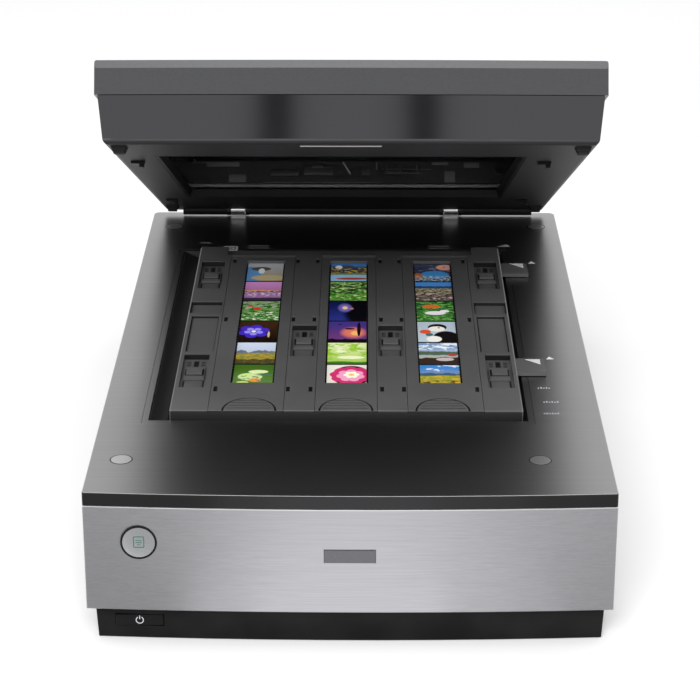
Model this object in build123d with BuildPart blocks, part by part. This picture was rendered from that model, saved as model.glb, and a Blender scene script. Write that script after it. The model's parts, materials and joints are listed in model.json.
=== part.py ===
from build123d import *
import os
from math import cos, radians, sin

# A flatbed film and photo scanner with its lid open and a film holder on the bed.
# Millimetres, +Z up. The origin is under the middle of the whole scanner, on the table.
# Lengths called "y" are counted back from the body's front edge.

os.makedirs("parts", exist_ok=True)

# ---- driving dimensions --------------------------------------------------------------
BODY_W = 308.0
BODY_D = 503.0
BODY_H = 98.0
FRONT_Y = -258.79
BOW = 4.5
WALL = 2.5
TOP_T = 3.0
GAP = 0.3
FIT = 0.05

FOOT_H = 3.0
FOOT_R = 8.0
FOOT_SINK = 1.5
FOOT_SPOTS = [(x, y) for x in (-118, 118) for y in (38, 460)]

BASE_TOP = 22.9
BASE_HALF = 148.4
SKIRT_Z = 0.6
SKIRT_T = 3.0
BASE_FRONT = 8.0
BASE_REAR = 498.0
BASE_TAPER = 2.77
BASE_FLOOR = FOOT_H + WALL
SCREW_SPOTS = [(x, y) for x in (-141.5, 141.5) for y in (30, 250, 474)]
SCREW_R = 1.9

PANEL_T = 2.0
BAND_Z = 89.8
INNER_FRONT = PANEL_T + 0.2 + WALL
BADGE_Z = 59.8
BADGE_W = 30.0
BADGE_H = 8.4

SCAN_X = -122.0
SCAN_Z = 67.2
SCAN_R = 9.4
SCAN_FACE = -2.3
POWER_X = (-138.0, -109.6)
POWER_Z = (8.8, 16.2)

BED_X = (-124.6, 108.9)
BED_Y = (103.2, 413.5)
BED_FLOOR_X = (-113.8, 108.0)
BED_FLOOR_Y = (104.5, 412.5)
BED_RIM = 3.8
GLASS_Z = (90.0, 93.0)

CAP_R = 6.3
CAP_SINK = 2.0
CAP_SPOTS = [(-135.5, 45.5), (112.2, 46.0), (-136.0, 469.0), (138.0, 470.0)]

SHAFT_X = -128.0
SHAFT_Z = 42.0
SHAFT_R = 5.0
RAIL_X = (108.0, 124.0)
RAIL_Z = (36.0, 40.0)

CARRIAGE_X = (-135.4, 118.0)
CARRIAGE_Y = (372.0, 458.0)
CARRIAGE_Z = (33.0, 84.0)
SLIT_Y = 415.0
RIBBON_Z = 16.5
RIBBON_BEND_Y = 318.0

BELT_X = -105.0
DRIVE_Y = 475.0
IDLER_Y = 34.0
PULLEY_R = 8.0
BELT_Z = (25.5, 30.5)
BELT_T = 1.2

HINGE_X = (-89.0, 74.2)
HINGE_Y = 495.5
HINGE_Z = BODY_H + 5.0
POST_W = 10.5
POST_T = 5.0
POST_BOTTOM = 42.0
KNUCKLE_R = 4.5
PIN_R = 2.0
EAR_T = 2.8

LID_ANGLE = 23.6
LID_BOTTOM = -0.1
LID_HALF = 145.3
LID_FRONT = -429.3
LID_REAR = 7.1
LID_STEP = 28.3
LID_TAPER = 6.2
LID_BOW = 3.0
LID_INNER_HALF = 142.8
LID_INNER_FRONT = -426.5
LID_INNER_REAR = 1.5
LID_FLOOR = 3.4
BARREL_X = (-131.0, 136.0)
BARREL_R = 4.2
CAP_HALF = 150.5
CAP_FRONT = -432.5
CAP_REAR = 8.5
CAP_BOTTOM = 28.7
CAP_TOP = 49.4
CAP_BEVEL_BACK = 3.8
CAP_BEVEL_DOWN = 5.2
WINDOW_X = (-118.0, 105.0)
WINDOW_Y = (-366.0, -104.9)
FRAME_RIM = 2.2

LAMP_Y = (-100.0, -72.0)
LAMP_T = (10.0, 26.0)
LAMP_SHAFT_X = -134.0
LAMP_SHAFT_T = 16.0
LAMP_SHAFT_R = 3.0
LAMP_BELT_X = -128.0
LAMP_DRIVE_Y = -30.0
LAMP_IDLER_Y = -402.0
LAMP_PULLEY_R = 6.0
LAMP_BELT_T = (29.5, 33.5)

HOLDER_X = (-112.0, 106.0)
HOLDER_Y = (108.0, 411.0)
HOLDER_Z = (93.3, 102.5)
STRIP_X = {"left": -63.0, "centre": -3.2, "right": 56.6}
STRIP_W = 35.0
STRIP_Y = (150.6, 382.2)
STRIP_Z = (99.9, 100.2)
FILM_HALF = 13.8
FILM_Y = (152.5, 380.3)
COVER_REACH = {"left": (25.2, 21.0), "centre": (19.2, 19.2), "right": (21.4, 25.2)}
LATCH_REACH = 22.5
LATCH_WALL = 2.1
LATCH_Y = (143.0, 264.0, 380.0)
COVER_Z = (100.4, 102.5)
COVER_Y = (108.3, 387.5)
COVER_PIVOT_Y = 389.3
COVER_PIVOT_Z = 101.4
COVER_BARREL_R = 1.1
RECESS_Z = 100.0
REAR_STEP_Y = 393.2
GRIP_HALF = 17.0
GRIP_REACH = 20.5
GRIP_GROOVE = 1.3
GRIP_RIBS = 4
GRIP_RIB_W = 1.1
GRIP_PITCH = 4.1

ADJUSTER_W = 16.5
ADJUSTER_L = 56.0
ADJUSTER_FLOOR = 99.0
ADJUSTERS = {
    "front_left": (-100.75, 145.0),
    "front_right": (94.75, 145.0),
    "middle_left": (-32.0, 197.5),
    "middle_right": (25.5, 197.5),
    "rear_left": (-100.75, 323.0),
    "rear_right": (94.75, 323.0),
}
SLIDER_L = 18.0

BODY = Plane(origin=(0, FRONT_Y, 0))
LID = Plane(
    origin=(0, FRONT_Y + HINGE_Y, HINGE_Z),
    x_dir=(1, 0, 0),
    z_dir=(0, sin(radians(LID_ANGLE)), cos(radians(LID_ANGLE))),
)
TURN = {"X": (0, 90, 0), "Y": (-90, 0, 0), "Z": (0, 0, 0)}


# ---- shared shapes -------------------------------------------------------------------
def block(x, y, z, mode=Mode.ADD, base=BODY):
    """A box between two limits on each axis of the base plane."""
    centre = ((x[0] + x[1]) / 2, (y[0] + y[1]) / 2, (z[0] + z[1]) / 2)
    with Locations(base):
        with Locations(centre):
            Box(x[1] - x[0], y[1] - y[0], z[1] - z[0], mode=mode)


def bar(start, length, radius, axis="Z", mode=Mode.ADD, base=BODY):
    """A round bar that runs from a start point along one axis of the base plane."""
    with Locations(base):
        with Locations(Location(start, TURN[axis])):
            Cylinder(radius, length, align=(Align.CENTER, Align.CENTER, Align.MIN), mode=mode)


def bowed_outline(half, front, rear, bow):
    """The edges of a rectangle whose front side bows out by bow."""
    with BuildLine() as outline:
        ThreePointArc((-half, front), (0, front - bow), (half, front))
        Polyline((half, front), (half, rear), (-half, rear), (-half, front))
    return outline.edges()


def pyramid_hole(low_x, low_y, low_z, high_x, high_y, high_z, base=BODY):
    """Cut an opening with sloped walls between two rectangles at two heights."""
    ends = []
    for x, y, z in ((low_x, low_y, low_z), (high_x, high_y, high_z)):
        with BuildSketch(base.offset(z)) as end:
            with Locations(((x[0] + x[1]) / 2, (y[0] + y[1]) / 2)):
                Rectangle(x[1] - x[0], y[1] - y[0])
        ends.append(end.sketch.face())
    loft(ends, mode=Mode.SUBTRACT)


def grow(span, amount):
    """A span made longer by amount at each end."""
    return (span[0] - amount, span[1] + amount)


def around(middle, half):
    """A span from its middle and half its length."""
    return (middle - half, middle + half)


def finish(piece, name):
    """Name one sub-part and write it to its file."""
    piece.part.label = name
    export_step(piece.part, f"parts/{name}.step")


# ---- base ----------------------------------------------------------------------------
with BuildPart() as rubber_feet:
    for foot_x, foot_y in FOOT_SPOTS:
        bar((foot_x, foot_y, 0), FOOT_H + FOOT_SINK, FOOT_R)
finish(rubber_feet, "rubber_feet")

with BuildPart() as base_tray:
    with BuildSketch(BODY.offset(SKIRT_Z)):
        make_face(bowed_outline(BASE_HALF, BASE_FRONT, BASE_REAR, BOW))
    extrude(amount=BASE_TOP - SKIRT_Z, taper=-BASE_TAPER)
    # a skirt round the underside hides the feet
    with BuildSketch(BODY.offset(SKIRT_Z)):
        make_face(
            bowed_outline(BASE_HALF - SKIRT_T, BASE_FRONT + SKIRT_T, BASE_REAR - SKIRT_T, BOW)
        )
    extrude(amount=FOOT_H - SKIRT_Z, mode=Mode.SUBTRACT)
    with BuildSketch(BODY.offset(BASE_FLOOR)):
        make_face(bowed_outline(BASE_HALF - WALL, BASE_FRONT + WALL, BASE_REAR - WALL, BOW))
    extrude(amount=BASE_TOP, mode=Mode.SUBTRACT)
    for foot_x, foot_y in FOOT_SPOTS:
        bar((foot_x, foot_y, FOOT_H), FOOT_SINK, FOOT_R + FIT, mode=Mode.SUBTRACT)
    for screw_x, screw_y in SCREW_SPOTS:
        bar((screw_x, screw_y, BASE_FLOOR - 1), BASE_TOP - BASE_FLOOR + 1, 5.0)
        bar((screw_x, screw_y, 0), BASE_TOP + 5, SCREW_R + 0.2, mode=Mode.SUBTRACT)
        bar((screw_x, screw_y, 0), 8.0, 4.2, mode=Mode.SUBTRACT)
    block(grow(POWER_X, GAP), (0, 20), grow(POWER_Z, GAP), Mode.SUBTRACT)
    # posts that carry the ends of the guide shaft and of the flat rail
    for post_y in ((20, 27), (486, 493)):
        block(around(SHAFT_X, 6), post_y, (BASE_FLOOR - 1, SHAFT_Z))
        block(RAIL_X, post_y, (BASE_FLOOR - 1, RAIL_Z[0]))
    bar((SHAFT_X, 20, SHAFT_Z), 473, SHAFT_R, "Y", Mode.SUBTRACT)
    # standoffs under the main board and the anchor of the belt's spring
    for board_x in (-44, 74):
        for board_y in (306, 434):
            bar((board_x, board_y, BASE_FLOOR - 1), 4.5, 3.0)
    block(around(BELT_X, 3), (90, 94), (BASE_FLOOR - 1, 24))
finish(base_tray, "base_tray")

with BuildPart() as base_screws:
    for screw_x, screw_y in SCREW_SPOTS:
        bar((screw_x, screw_y, 5.5), 2.5, 4.0)
        bar((screw_x, screw_y, 7.0), 26.0, SCREW_R)
        block(around(screw_x, 2.8), around(screw_y, 0.4), (5.4, 6.3), Mode.SUBTRACT)
        block(around(screw_x, 0.4), around(screw_y, 2.8), (5.4, 6.3), Mode.SUBTRACT)
finish(base_screws, "base_screws")

# ---- upper case ----------------------------------------------------------------------
with BuildPart() as upper_case:
    with BuildSketch(BODY.offset(BASE_TOP)):
        make_face(bowed_outline(BODY_W / 2, 0, BODY_D, BOW))
    extrude(amount=BODY_H - BASE_TOP)
    fillet(upper_case.edges().filter_by(Axis.Z).group_by(Axis.Y)[-1], 4.0)
    fillet(upper_case.edges().filter_by(Axis.Z).group_by(Axis.Y)[0], 1.2)
    fillet(upper_case.faces().sort_by(Axis.Z)[-1].edges(), 0.7)
    # the front face steps back below the dark band to take the front panel
    with BuildSketch(BODY.offset(BASE_TOP)):
        with BuildLine():
            back = PANEL_T + 0.2
            ThreePointArc((-BODY_W / 2, back), (0, back - BOW), (BODY_W / 2, back))
            Polyline(
                (BODY_W / 2, back), (BODY_W / 2, -20), (-BODY_W / 2, -20), (-BODY_W / 2, back)
            )
        make_face()
    extrude(amount=BAND_Z - BASE_TOP, mode=Mode.SUBTRACT)
    with BuildSketch(BODY.offset(BASE_TOP)):
        make_face(bowed_outline(BODY_W / 2 - WALL, INNER_FRONT, BODY_D - WALL, BOW))
    extrude(amount=BODY_H - TOP_T - BASE_TOP, mode=Mode.SUBTRACT)
    # screw bosses against the side walls
    for screw_x, screw_y in SCREW_SPOTS:
        side = 1 if screw_x > 0 else -1
        inner, outer = sorted((side * 136.5, side * (BODY_W / 2 - 1)))
        block((inner, outer), around(screw_y, 5), (BASE_TOP, 40))
        bar((screw_x, screw_y, BASE_TOP), 12, SCREW_R, mode=Mode.SUBTRACT)
    # openings in the top: bed, hinge posts and screw caps
    block(
        (BED_X[0] - BED_RIM - 0.2, BED_X[1] + BED_RIM + 0.2),
        (BED_Y[0] - BED_RIM - 0.2, BED_Y[1] + BED_RIM + 0.2),
        (BODY_H - 10, BODY_H + 1),
        Mode.SUBTRACT,
    )
    for hinge_x in HINGE_X:
        block(
            around(hinge_x, POST_W / 2 + GAP),
            around(HINGE_Y, POST_T / 2 + GAP),
            (BODY_H - 10, BODY_H + 1),
            Mode.SUBTRACT,
        )
    for cap_x, cap_y in CAP_SPOTS:
        bar((cap_x, cap_y, BODY_H - CAP_SINK), 5, CAP_R + 0.15, mode=Mode.SUBTRACT)
    # scan button at the front, sockets and transport lock at the rear
    bar((SCAN_X, -10, SCAN_Z), 20, SCAN_R + 0.3, "Y", Mode.SUBTRACT)
    block((-55, 35), (490, 510), (36, 60), Mode.SUBTRACT)
    block((96, 114), (490, 510), (34, 40), Mode.SUBTRACT)
finish(upper_case, "upper_case")

with BuildPart() as front_panel:
    with BuildSketch(BODY.offset(BASE_TOP)):
        with BuildLine():
            ThreePointArc((-BODY_W / 2, 0), (0, -BOW), (BODY_W / 2, 0))
            Line((BODY_W / 2, 0), (BODY_W / 2, PANEL_T))
            ThreePointArc((BODY_W / 2, PANEL_T), (0, PANEL_T - BOW), (-BODY_W / 2, PANEL_T))
            Line((-BODY_W / 2, PANEL_T), (-BODY_W / 2, 0))
        make_face()
    extrude(amount=BAND_Z - BASE_TOP - 0.2)
    chamfer(front_panel.faces().sort_by(Axis.Y)[0].edges(), 0.5)
    bar((SCAN_X, -10, SCAN_Z), 20, SCAN_R + 1.3, "Y", Mode.SUBTRACT)
    block(
        around(0, BADGE_W / 2 + 0.1),
        (-BOW - 1, -BOW + 0.6),
        around(BADGE_Z, BADGE_H / 2 + 0.1),
        Mode.SUBTRACT,
    )
finish(front_panel, "front_panel")

with BuildPart() as badge_plate:
    block(around(0, BADGE_W / 2), (-BOW - 0.6, -BOW + 0.6), around(BADGE_Z, BADGE_H / 2))
    chamfer(badge_plate.faces().sort_by(Axis.Y)[0].edges(), 0.3)
finish(badge_plate, "badge_plate")

with BuildPart() as screw_caps:
    for cap_x, cap_y in CAP_SPOTS:
        bar((cap_x, cap_y, BODY_H - CAP_SINK), CAP_SINK + 0.1, CAP_R)
    chamfer(screw_caps.faces().filter_by(Axis.Z).group_by(Axis.Z)[-1].edges(), 0.25)
finish(screw_caps, "screw_caps")

# ---- scan bed ------------------------------------------------------------------------
with BuildPart() as bed_frame:
    block(grow(BED_X, BED_RIM), grow(BED_Y, BED_RIM), (GLASS_Z[1], BODY_H - 0.1))
    block(grow(BED_X, BED_RIM + 4), grow(BED_Y, BED_RIM + 4), (GLASS_Z[1], BODY_H - TOP_T))
    pyramid_hole(BED_FLOOR_X, BED_FLOOR_Y, GLASS_Z[1], BED_X, BED_Y, BODY_H - 0.1)
finish(bed_frame, "bed_frame")

with BuildPart() as scan_glass:
    block(grow(BED_FLOOR_X, 5), grow(BED_FLOOR_Y, 4), GLASS_Z)
finish(scan_glass, "scan_glass")

with BuildPart() as calibration_strip:
    block(grow(BED_FLOOR_X, -4), (405.0, 412.0), (GLASS_Z[0] - 0.4, GLASS_Z[0]))
finish(calibration_strip, "calibration_strip")

# ---- buttons -------------------------------------------------------------------------
with BuildPart() as button_bezel:
    bar((SCAN_X, SCAN_FACE - 0.1, SCAN_Z), 2.3, SCAN_R + 1.2, "Y")
    bar((SCAN_X, SCAN_FACE - 1, SCAN_Z), 8.0, SCAN_R + 0.3, "Y", Mode.SUBTRACT)
finish(button_bezel, "button_bezel")

with BuildPart() as scan_button:
    bar((SCAN_X, SCAN_FACE, SCAN_Z), 9.0, SCAN_R, "Y")
    bar((SCAN_X, 5.2, SCAN_Z), 1.5, SCAN_R + 2, "Y")
    dish_r = 60.0
    with Locations(BODY):
        with Locations((SCAN_X, SCAN_FACE - dish_r + 0.8, SCAN_Z)):
            Sphere(dish_r, mode=Mode.SUBTRACT)
finish(scan_button, "scan_button")

with BuildPart() as power_button:
    block(POWER_X, (5.6, 13), POWER_Z)
    chamfer(power_button.faces().sort_by(Axis.Y)[0].edges(), 0.4)
    block(grow(POWER_X, 2), (10.2, 11.7), grow(POWER_Z, 1.6))
finish(power_button, "power_button")

# ---- sockets and electronics ---------------------------------------------------------
with BuildPart() as main_board:
    block((-50, 80), (300, 440), (BASE_FLOOR + 3.5, BASE_FLOOR + 5.1))
    block((0, 24), (350, 374), (BASE_FLOOR + 5.1, BASE_FLOOR + 7.5))
    block((-40, -10), (395, 405), (BASE_FLOOR + 5.1, BASE_FLOOR + 12))
    block((58, 82), (370, 379), (BASE_FLOOR + 5.1, RIBBON_Z - 0.3))
    for can_y in (390, 404, 418):
        bar((62, can_y, BASE_FLOOR + 5.1), 10, 4.0)
finish(main_board, "main_board")

with BuildPart() as port_plate:
    block((-59, 39), (498.3, 500.3), (32, 64))
    block((-40.2, -27.8), (490, 510), (41.8, 53.2), Mode.SUBTRACT)
    block((-0.2, 24.2), (490, 510), (39.8, 56.2), Mode.SUBTRACT)
finish(port_plate, "port_plate")

with BuildPart() as usb_port:
    block((-40, -28), (485, 502), (42, 53))
    block((-39, -29), (490, 503), (43, 52), Mode.SUBTRACT)
finish(usb_port, "usb_port")

with BuildPart() as power_inlet:
    block((0, 24), (480, 502), (40, 56))
    block((2, 22), (486, 503), (42, 54), Mode.SUBTRACT)
    for pin_x in (7, 17):
        bar((pin_x, 485.5, 48), 4.5, 1.2, "Y")
finish(power_inlet, "power_inlet")

with BuildPart() as transport_lock:
    block((92, 110), (498.2, 500.2), (31.5, 42.5))
    block((97, 105), (499, 504.5), (34.5, 39.5))
    for rib_x in (99, 101, 103):
        block(around(rib_x, 0.3), (503.9, 505), (34, 40), Mode.SUBTRACT)
finish(transport_lock, "transport_lock")

# ---- scan drive ----------------------------------------------------------------------
with BuildPart() as guide_shaft:
    bar((SHAFT_X, 20, SHAFT_Z), 473, SHAFT_R, "Y")
    chamfer(guide_shaft.faces().filter_by(Axis.Y).edges(), 0.6)
finish(guide_shaft, "guide_shaft")

with BuildPart() as guide_rail:
    block(RAIL_X, (20, 493), RAIL_Z)
finish(guide_rail, "guide_rail")

with BuildPart() as drive_motor:
    bar((BELT_X, DRIVE_Y, BASE_FLOOR), 18.0, 17.5)
    block(around(BELT_X, 4), (DRIVE_Y - 21, DRIVE_Y - 10), (BASE_FLOOR, BASE_FLOOR + 10))
    bar((BELT_X, DRIVE_Y, BASE_FLOOR + 3), 30, 2.5 + FIT, mode=Mode.SUBTRACT)
finish(drive_motor, "drive_motor")


def pulley(x, y, belt_span, radius, shaft_from, shaft_r, base):
    """A flanged pulley, with its own shaft below it or a bore for a fixed pin."""
    low, high = belt_span
    bar((x, y, low - 1.2), high - low + 2.4, radius, base=base)
    for flange in (low - 1.2, high + 0.4):
        bar((x, y, flange), 0.8, radius + 2.2, base=base)
    if shaft_from is None:
        bar((x, y, low - 5), high - low + 10, shaft_r + FIT, mode=Mode.SUBTRACT, base=base)
    else:
        bar((x, y, shaft_from), low - shaft_from, shaft_r, base=base)


def belt_loop(x, y_span, belt_span, inner_r, base):
    """A closed flat belt round two pulleys that lie along the base plane's y."""
    length = y_span[1] - y_span[0]
    with BuildSketch(base.offset(belt_span[0])) as loop:
        with Locations((x, (y_span[0] + y_span[1]) / 2)):
            SlotCenterToCenter(length, 2 * (inner_r + BELT_T), rotation=90)
            SlotCenterToCenter(length, 2 * inner_r, rotation=90, mode=Mode.SUBTRACT)
    extrude(loop.sketch, amount=belt_span[1] - belt_span[0])


with BuildPart() as drive_pulley:
    pulley(BELT_X, DRIVE_Y, BELT_Z, PULLEY_R, BASE_FLOOR + 4, 2.5, BODY)
finish(drive_pulley, "drive_pulley")

with BuildPart() as idler_pulley:
    pulley(BELT_X, IDLER_Y, BELT_Z, PULLEY_R, None, PIN_R, BODY)
finish(idler_pulley, "idler_pulley")

with BuildPart() as drive_belt:
    belt_loop(BELT_X, (IDLER_Y, DRIVE_Y), BELT_Z, PULLEY_R + GAP, BODY)
finish(drive_belt, "drive_belt")

with BuildPart() as belt_tensioner:
    block(around(BELT_X, 11), (22, 59), (20, 22))
    block(around(BELT_X, 4), (57, 59), (20, 26))
    bar((BELT_X, IDLER_Y, 20), 12.6, PIN_R)
finish(belt_tensioner, "belt_tensioner")

with BuildPart() as tension_spring:
    spring_r = 2.4
    with BuildLine() as coil:
        Helix(
            pitch=2.5,
            height=29.0,
            radius=spring_r,
            center=(BELT_X, FRONT_Y + 59.9, 22.8),
            direction=(0, 1, 0),
        )
    with BuildSketch(Plane(origin=coil.line @ 0, z_dir=coil.line % 0)):
        Circle(0.5)
    sweep(path=coil.line, is_frenet=True)
finish(tension_spring, "tension_spring")

# ---- scan carriage -------------------------------------------------------------------
with BuildPart() as carriage_housing:
    block(CARRIAGE_X, CARRIAGE_Y, CARRIAGE_Z)
    block((RAIL_X[0] - 4, 130), grow(CARRIAGE_Y, 1), (20, RAIL_Z[1] + GAP), Mode.SUBTRACT)
    bar(
        (SHAFT_X, CARRIAGE_Y[0] - 1, SHAFT_Z), 90, SHAFT_R + FIT, "Y", Mode.SUBTRACT
    )
    block((-119, 101), grow(CARRIAGE_Y, -2.5), (35.5, CARRIAGE_Z[1] - 2.5), Mode.SUBTRACT)
    block((-117, 99), around(SLIT_Y, 3), (70, 90), Mode.SUBTRACT)
    # jaws that hold one run of the drive belt
    strand = BELT_X - PULLEY_R - GAP - BELT_T / 2
    block(around(strand, 4), (405, 420), (BELT_Z[0] - 0.7, CARRIAGE_Z[0] + 1))
    block(around(strand, BELT_T / 2 + GAP), (400, 425), (20, BELT_Z[1] + GAP), Mode.SUBTRACT)
finish(carriage_housing, "carriage_housing")

with BuildPart() as led_lamp:
    for lamp_y in (SLIT_Y - 10, SLIT_Y + 10):
        block((-117, 99), around(lamp_y, 3.5), (CARRIAGE_Z[1], CARRIAGE_Z[1] + 3.5))
finish(led_lamp, "led_lamp")

with BuildPart() as mirrors:
    for mirror_y, mirror_z, tilt in ((SLIT_Y, 44, 40), (388, 60, -20), (438, 50, 15), (392, 42, -35)):
        with Locations(BODY):
            with Locations(Location((-9, mirror_y, mirror_z), (tilt, 0, 0))):
                Box(216, 12, 2)
finish(mirrors, "mirrors")

with BuildPart() as lens_pair:
    for lens_x, lens_r in ((-26, 8.0), (8, 6.5)):
        bar((lens_x, 424, 68), 16, lens_r, "Y")
    block((-36, 18), (430, 434), (59, 78))
finish(lens_pair, "lens_pair")

with BuildPart() as sensor_board:
    block((-60, 42), (451, 452.6), (56, 79))
    block((-48, 30), (449.4, 451), (64, 72))
finish(sensor_board, "sensor_board")

with BuildPart() as ribbon_cable:
    with BuildLine(Plane(origin=(70, FRONT_Y, 0), x_dir=(0, 1, 0), z_dir=(1, 0, 0))) as route:
        FilletPolyline(
            (378, RIBBON_Z),
            (RIBBON_BEND_Y, RIBBON_Z),
            (RIBBON_BEND_Y, 28),
            (380, 28),
            (380, CARRIAGE_Z[0]),
            radius=3.0,
        )
    with BuildSketch(Plane(origin=route.line @ 0, x_dir=(1, 0, 0), z_dir=route.line % 0)):
        Rectangle(18, 0.5)
    sweep(path=route.line)
finish(ribbon_cable, "ribbon_cable")

# ---- hinges --------------------------------------------------------------------------
with BuildPart() as hinge_sockets:
    for hinge_x in HINGE_X:
        block(around(hinge_x, 8.2), (490, BODY_D - WALL), (38, BODY_H - TOP_T))
        block(
            around(hinge_x, POST_W / 2 + GAP),
            around(HINGE_Y, POST_T / 2 + GAP),
            (30, BODY_H + 1),
            Mode.SUBTRACT,
        )
finish(hinge_sockets, "hinge_sockets")

with BuildPart() as hinge_posts:
    for hinge_x in HINGE_X:
        block(around(hinge_x, POST_W / 2), around(HINGE_Y, POST_T / 2), (POST_BOTTOM, HINGE_Z))
        bar((hinge_x - POST_W / 2, HINGE_Y, HINGE_Z), POST_W, KNUCKLE_R, "X")
        bar((hinge_x - POST_W, HINGE_Y, HINGE_Z), 2 * POST_W, PIN_R + FIT, "X", Mode.SUBTRACT)
finish(hinge_posts, "hinge_posts")

with BuildPart() as hinge_brackets:
    for hinge_x in HINGE_X:
        ear = POST_W / 2 + GAP
        block(around(hinge_x, 20), (-40, -9.6), (LID_FLOOR, LID_FLOOR + 3), base=LID)
        block(around(hinge_x, ear + EAR_T), (-12, KNUCKLE_R), (4.9, 6.9), base=LID)
        for ear_x in (hinge_x - ear - EAR_T, hinge_x + ear):
            block((ear_x, ear_x + EAR_T), around(0, KNUCKLE_R), (0, 6.9), base=LID)
            bar((ear_x, 0, 0), EAR_T, KNUCKLE_R, "X", base=LID)
        bar((hinge_x - 15, 0, 0), 30, PIN_R, "X", Mode.SUBTRACT, base=LID)
finish(hinge_brackets, "hinge_brackets")

with BuildPart() as hinge_pins:
    for hinge_x in HINGE_X:
        half = POST_W / 2 + GAP + EAR_T
        bar((hinge_x - half, HINGE_Y, HINGE_Z), 2 * half, PIN_R, "X")
finish(hinge_pins, "hinge_pins")

# ---- lid -----------------------------------------------------------------------------
with BuildPart() as lid_shell:
    with BuildSketch(LID.offset(LID_BOTTOM)):
        make_face(bowed_outline(LID_HALF, LID_FRONT, LID_REAR, LID_BOW))
    extrude(amount=LID_STEP - LID_BOTTOM, taper=-LID_TAPER)
    fillet(lid_shell.faces().sort_by(LID.location.z_axis)[0].edges(), 3.5)
    block((-200, 200), (LID_REAR, 40), (-5, 40), Mode.SUBTRACT, LID)
    # the rear edge slopes away so that the lid can stand open
    with BuildSketch(Plane(LID.location.position - 200 * LID.x_dir, x_dir=LID.y_dir, z_dir=LID.x_dir)):
        with BuildLine():
            Polyline((4, -5), (4, LID_BOTTOM), (LID_REAR, 12), (12, 12), (12, -5), (4, -5))
        make_face()
    extrude(amount=400, mode=Mode.SUBTRACT)
    with BuildSketch(LID.offset(LID_FLOOR)):
        make_face(bowed_outline(LID_INNER_HALF, LID_INNER_FRONT, LID_INNER_REAR, LID_BOW))
    extrude(amount=LID_STEP, mode=Mode.SUBTRACT)
    block(grow(WINDOW_X, FRAME_RIM), grow(WINDOW_Y, FRAME_RIM), (-5, 10), Mode.SUBTRACT, LID)
    # a round barrel on the hinge line closes the gap behind the bed
    bar((BARREL_X[0], 0, 0), BARREL_X[1] - BARREL_X[0], BARREL_R, "X", base=LID)
    for hinge_x in HINGE_X:
        notch_half = POST_W / 2 + 2 * GAP + EAR_T
        block(around(hinge_x, notch_half), (-9.2, 12), (-5, 7.4), Mode.SUBTRACT, LID)
finish(lid_shell, "lid_shell")

with BuildPart() as lid_cap:
    with BuildSketch(LID.offset(CAP_BOTTOM)):
        make_face(bowed_outline(CAP_HALF, CAP_FRONT, CAP_REAR, LID_BOW))
    extrude(amount=CAP_TOP - CAP_BOTTOM)
    # a broad bevel along the front, and small rounds on the other edges
    cap_face = lid_cap.faces().sort_by(LID.location.z_axis)[-1]
    front_edge = cap_face.edges().sort_by(LID.location.y_axis)[0]
    chamfer(front_edge, CAP_BEVEL_BACK, CAP_BEVEL_DOWN, reference=cap_face)
    fillet(lid_cap.edges().filter_by(LID.location.z_axis), 2.0)
    cap_face = lid_cap.faces().sort_by(LID.location.z_axis)[-1]
    fillet(cap_face.edges().sort_by(LID.location.y_axis)[1:], 1.2)
    with BuildSketch(LID.offset(CAP_BOTTOM)):
        make_face(bowed_outline(CAP_HALF - WALL, CAP_FRONT + WALL, CAP_REAR - WALL, LID_BOW))
    extrude(amount=CAP_TOP - CAP_BOTTOM - WALL, mode=Mode.SUBTRACT)
    # a lip that drops inside the shell below
    with BuildSketch(LID.offset(LID_STEP - 6)):
        outer_edges = bowed_outline(
            LID_INNER_HALF - 0.3, LID_INNER_FRONT + 0.3, LID_INNER_REAR - 0.3, LID_BOW
        )
        make_face(outer_edges)
        inner_edges = bowed_outline(
            LID_INNER_HALF - 2, LID_INNER_FRONT + 2, LID_INNER_REAR - 2, LID_BOW
        )
        make_face(inner_edges, mode=Mode.SUBTRACT)
    extrude(amount=8.4)
    with BuildSketch(LID.offset(CAP_BOTTOM)):
        make_face(bowed_outline(CAP_HALF - 1, CAP_FRONT + 1, CAP_REAR - 1, LID_BOW))
        inner_edges = bowed_outline(
            LID_INNER_HALF - 2, LID_INNER_FRONT + 2, LID_INNER_REAR - 2, LID_BOW
        )
        make_face(inner_edges, mode=Mode.SUBTRACT)
    extrude(amount=2.0)
finish(lid_cap, "lid_cap")

with BuildPart() as lid_underframe:
    rim = FRAME_RIM - 0.2
    block(grow(WINDOW_X, rim), grow(WINDOW_Y, rim), (LID_BOTTOM, LID_FLOOR + 0.1), base=LID)
    block(grow(WINDOW_X, 7), grow(WINDOW_Y, 7), (LID_FLOOR + 0.05, LID_FLOOR + 1.5), base=LID)
    pyramid_hole(
        WINDOW_X,
        WINDOW_Y,
        LID_BOTTOM,
        grow(WINDOW_X, -1.5),
        grow(WINDOW_Y, -1.5),
        LID_FLOOR + 1.5,
        LID,
    )
finish(lid_underframe, "lid_underframe")

with BuildPart() as lid_glass:
    block(grow(WINDOW_X, 3), grow(WINDOW_Y, 3), (LID_FLOOR + 1.5, LID_FLOOR + 3.5), base=LID)
finish(lid_glass, "lid_glass")

with BuildPart() as lid_bumpers:
    for bumper_x in (-137, 137):
        for bumper_y in (-416, -30):
            block(around(bumper_x, 4), around(bumper_y, 5), (-4.2, LID_BOTTOM), base=LID)
    chamfer(lid_bumpers.edges().filter_by(LID.location.z_axis), 1.5)
finish(lid_bumpers, "lid_bumpers")

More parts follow.
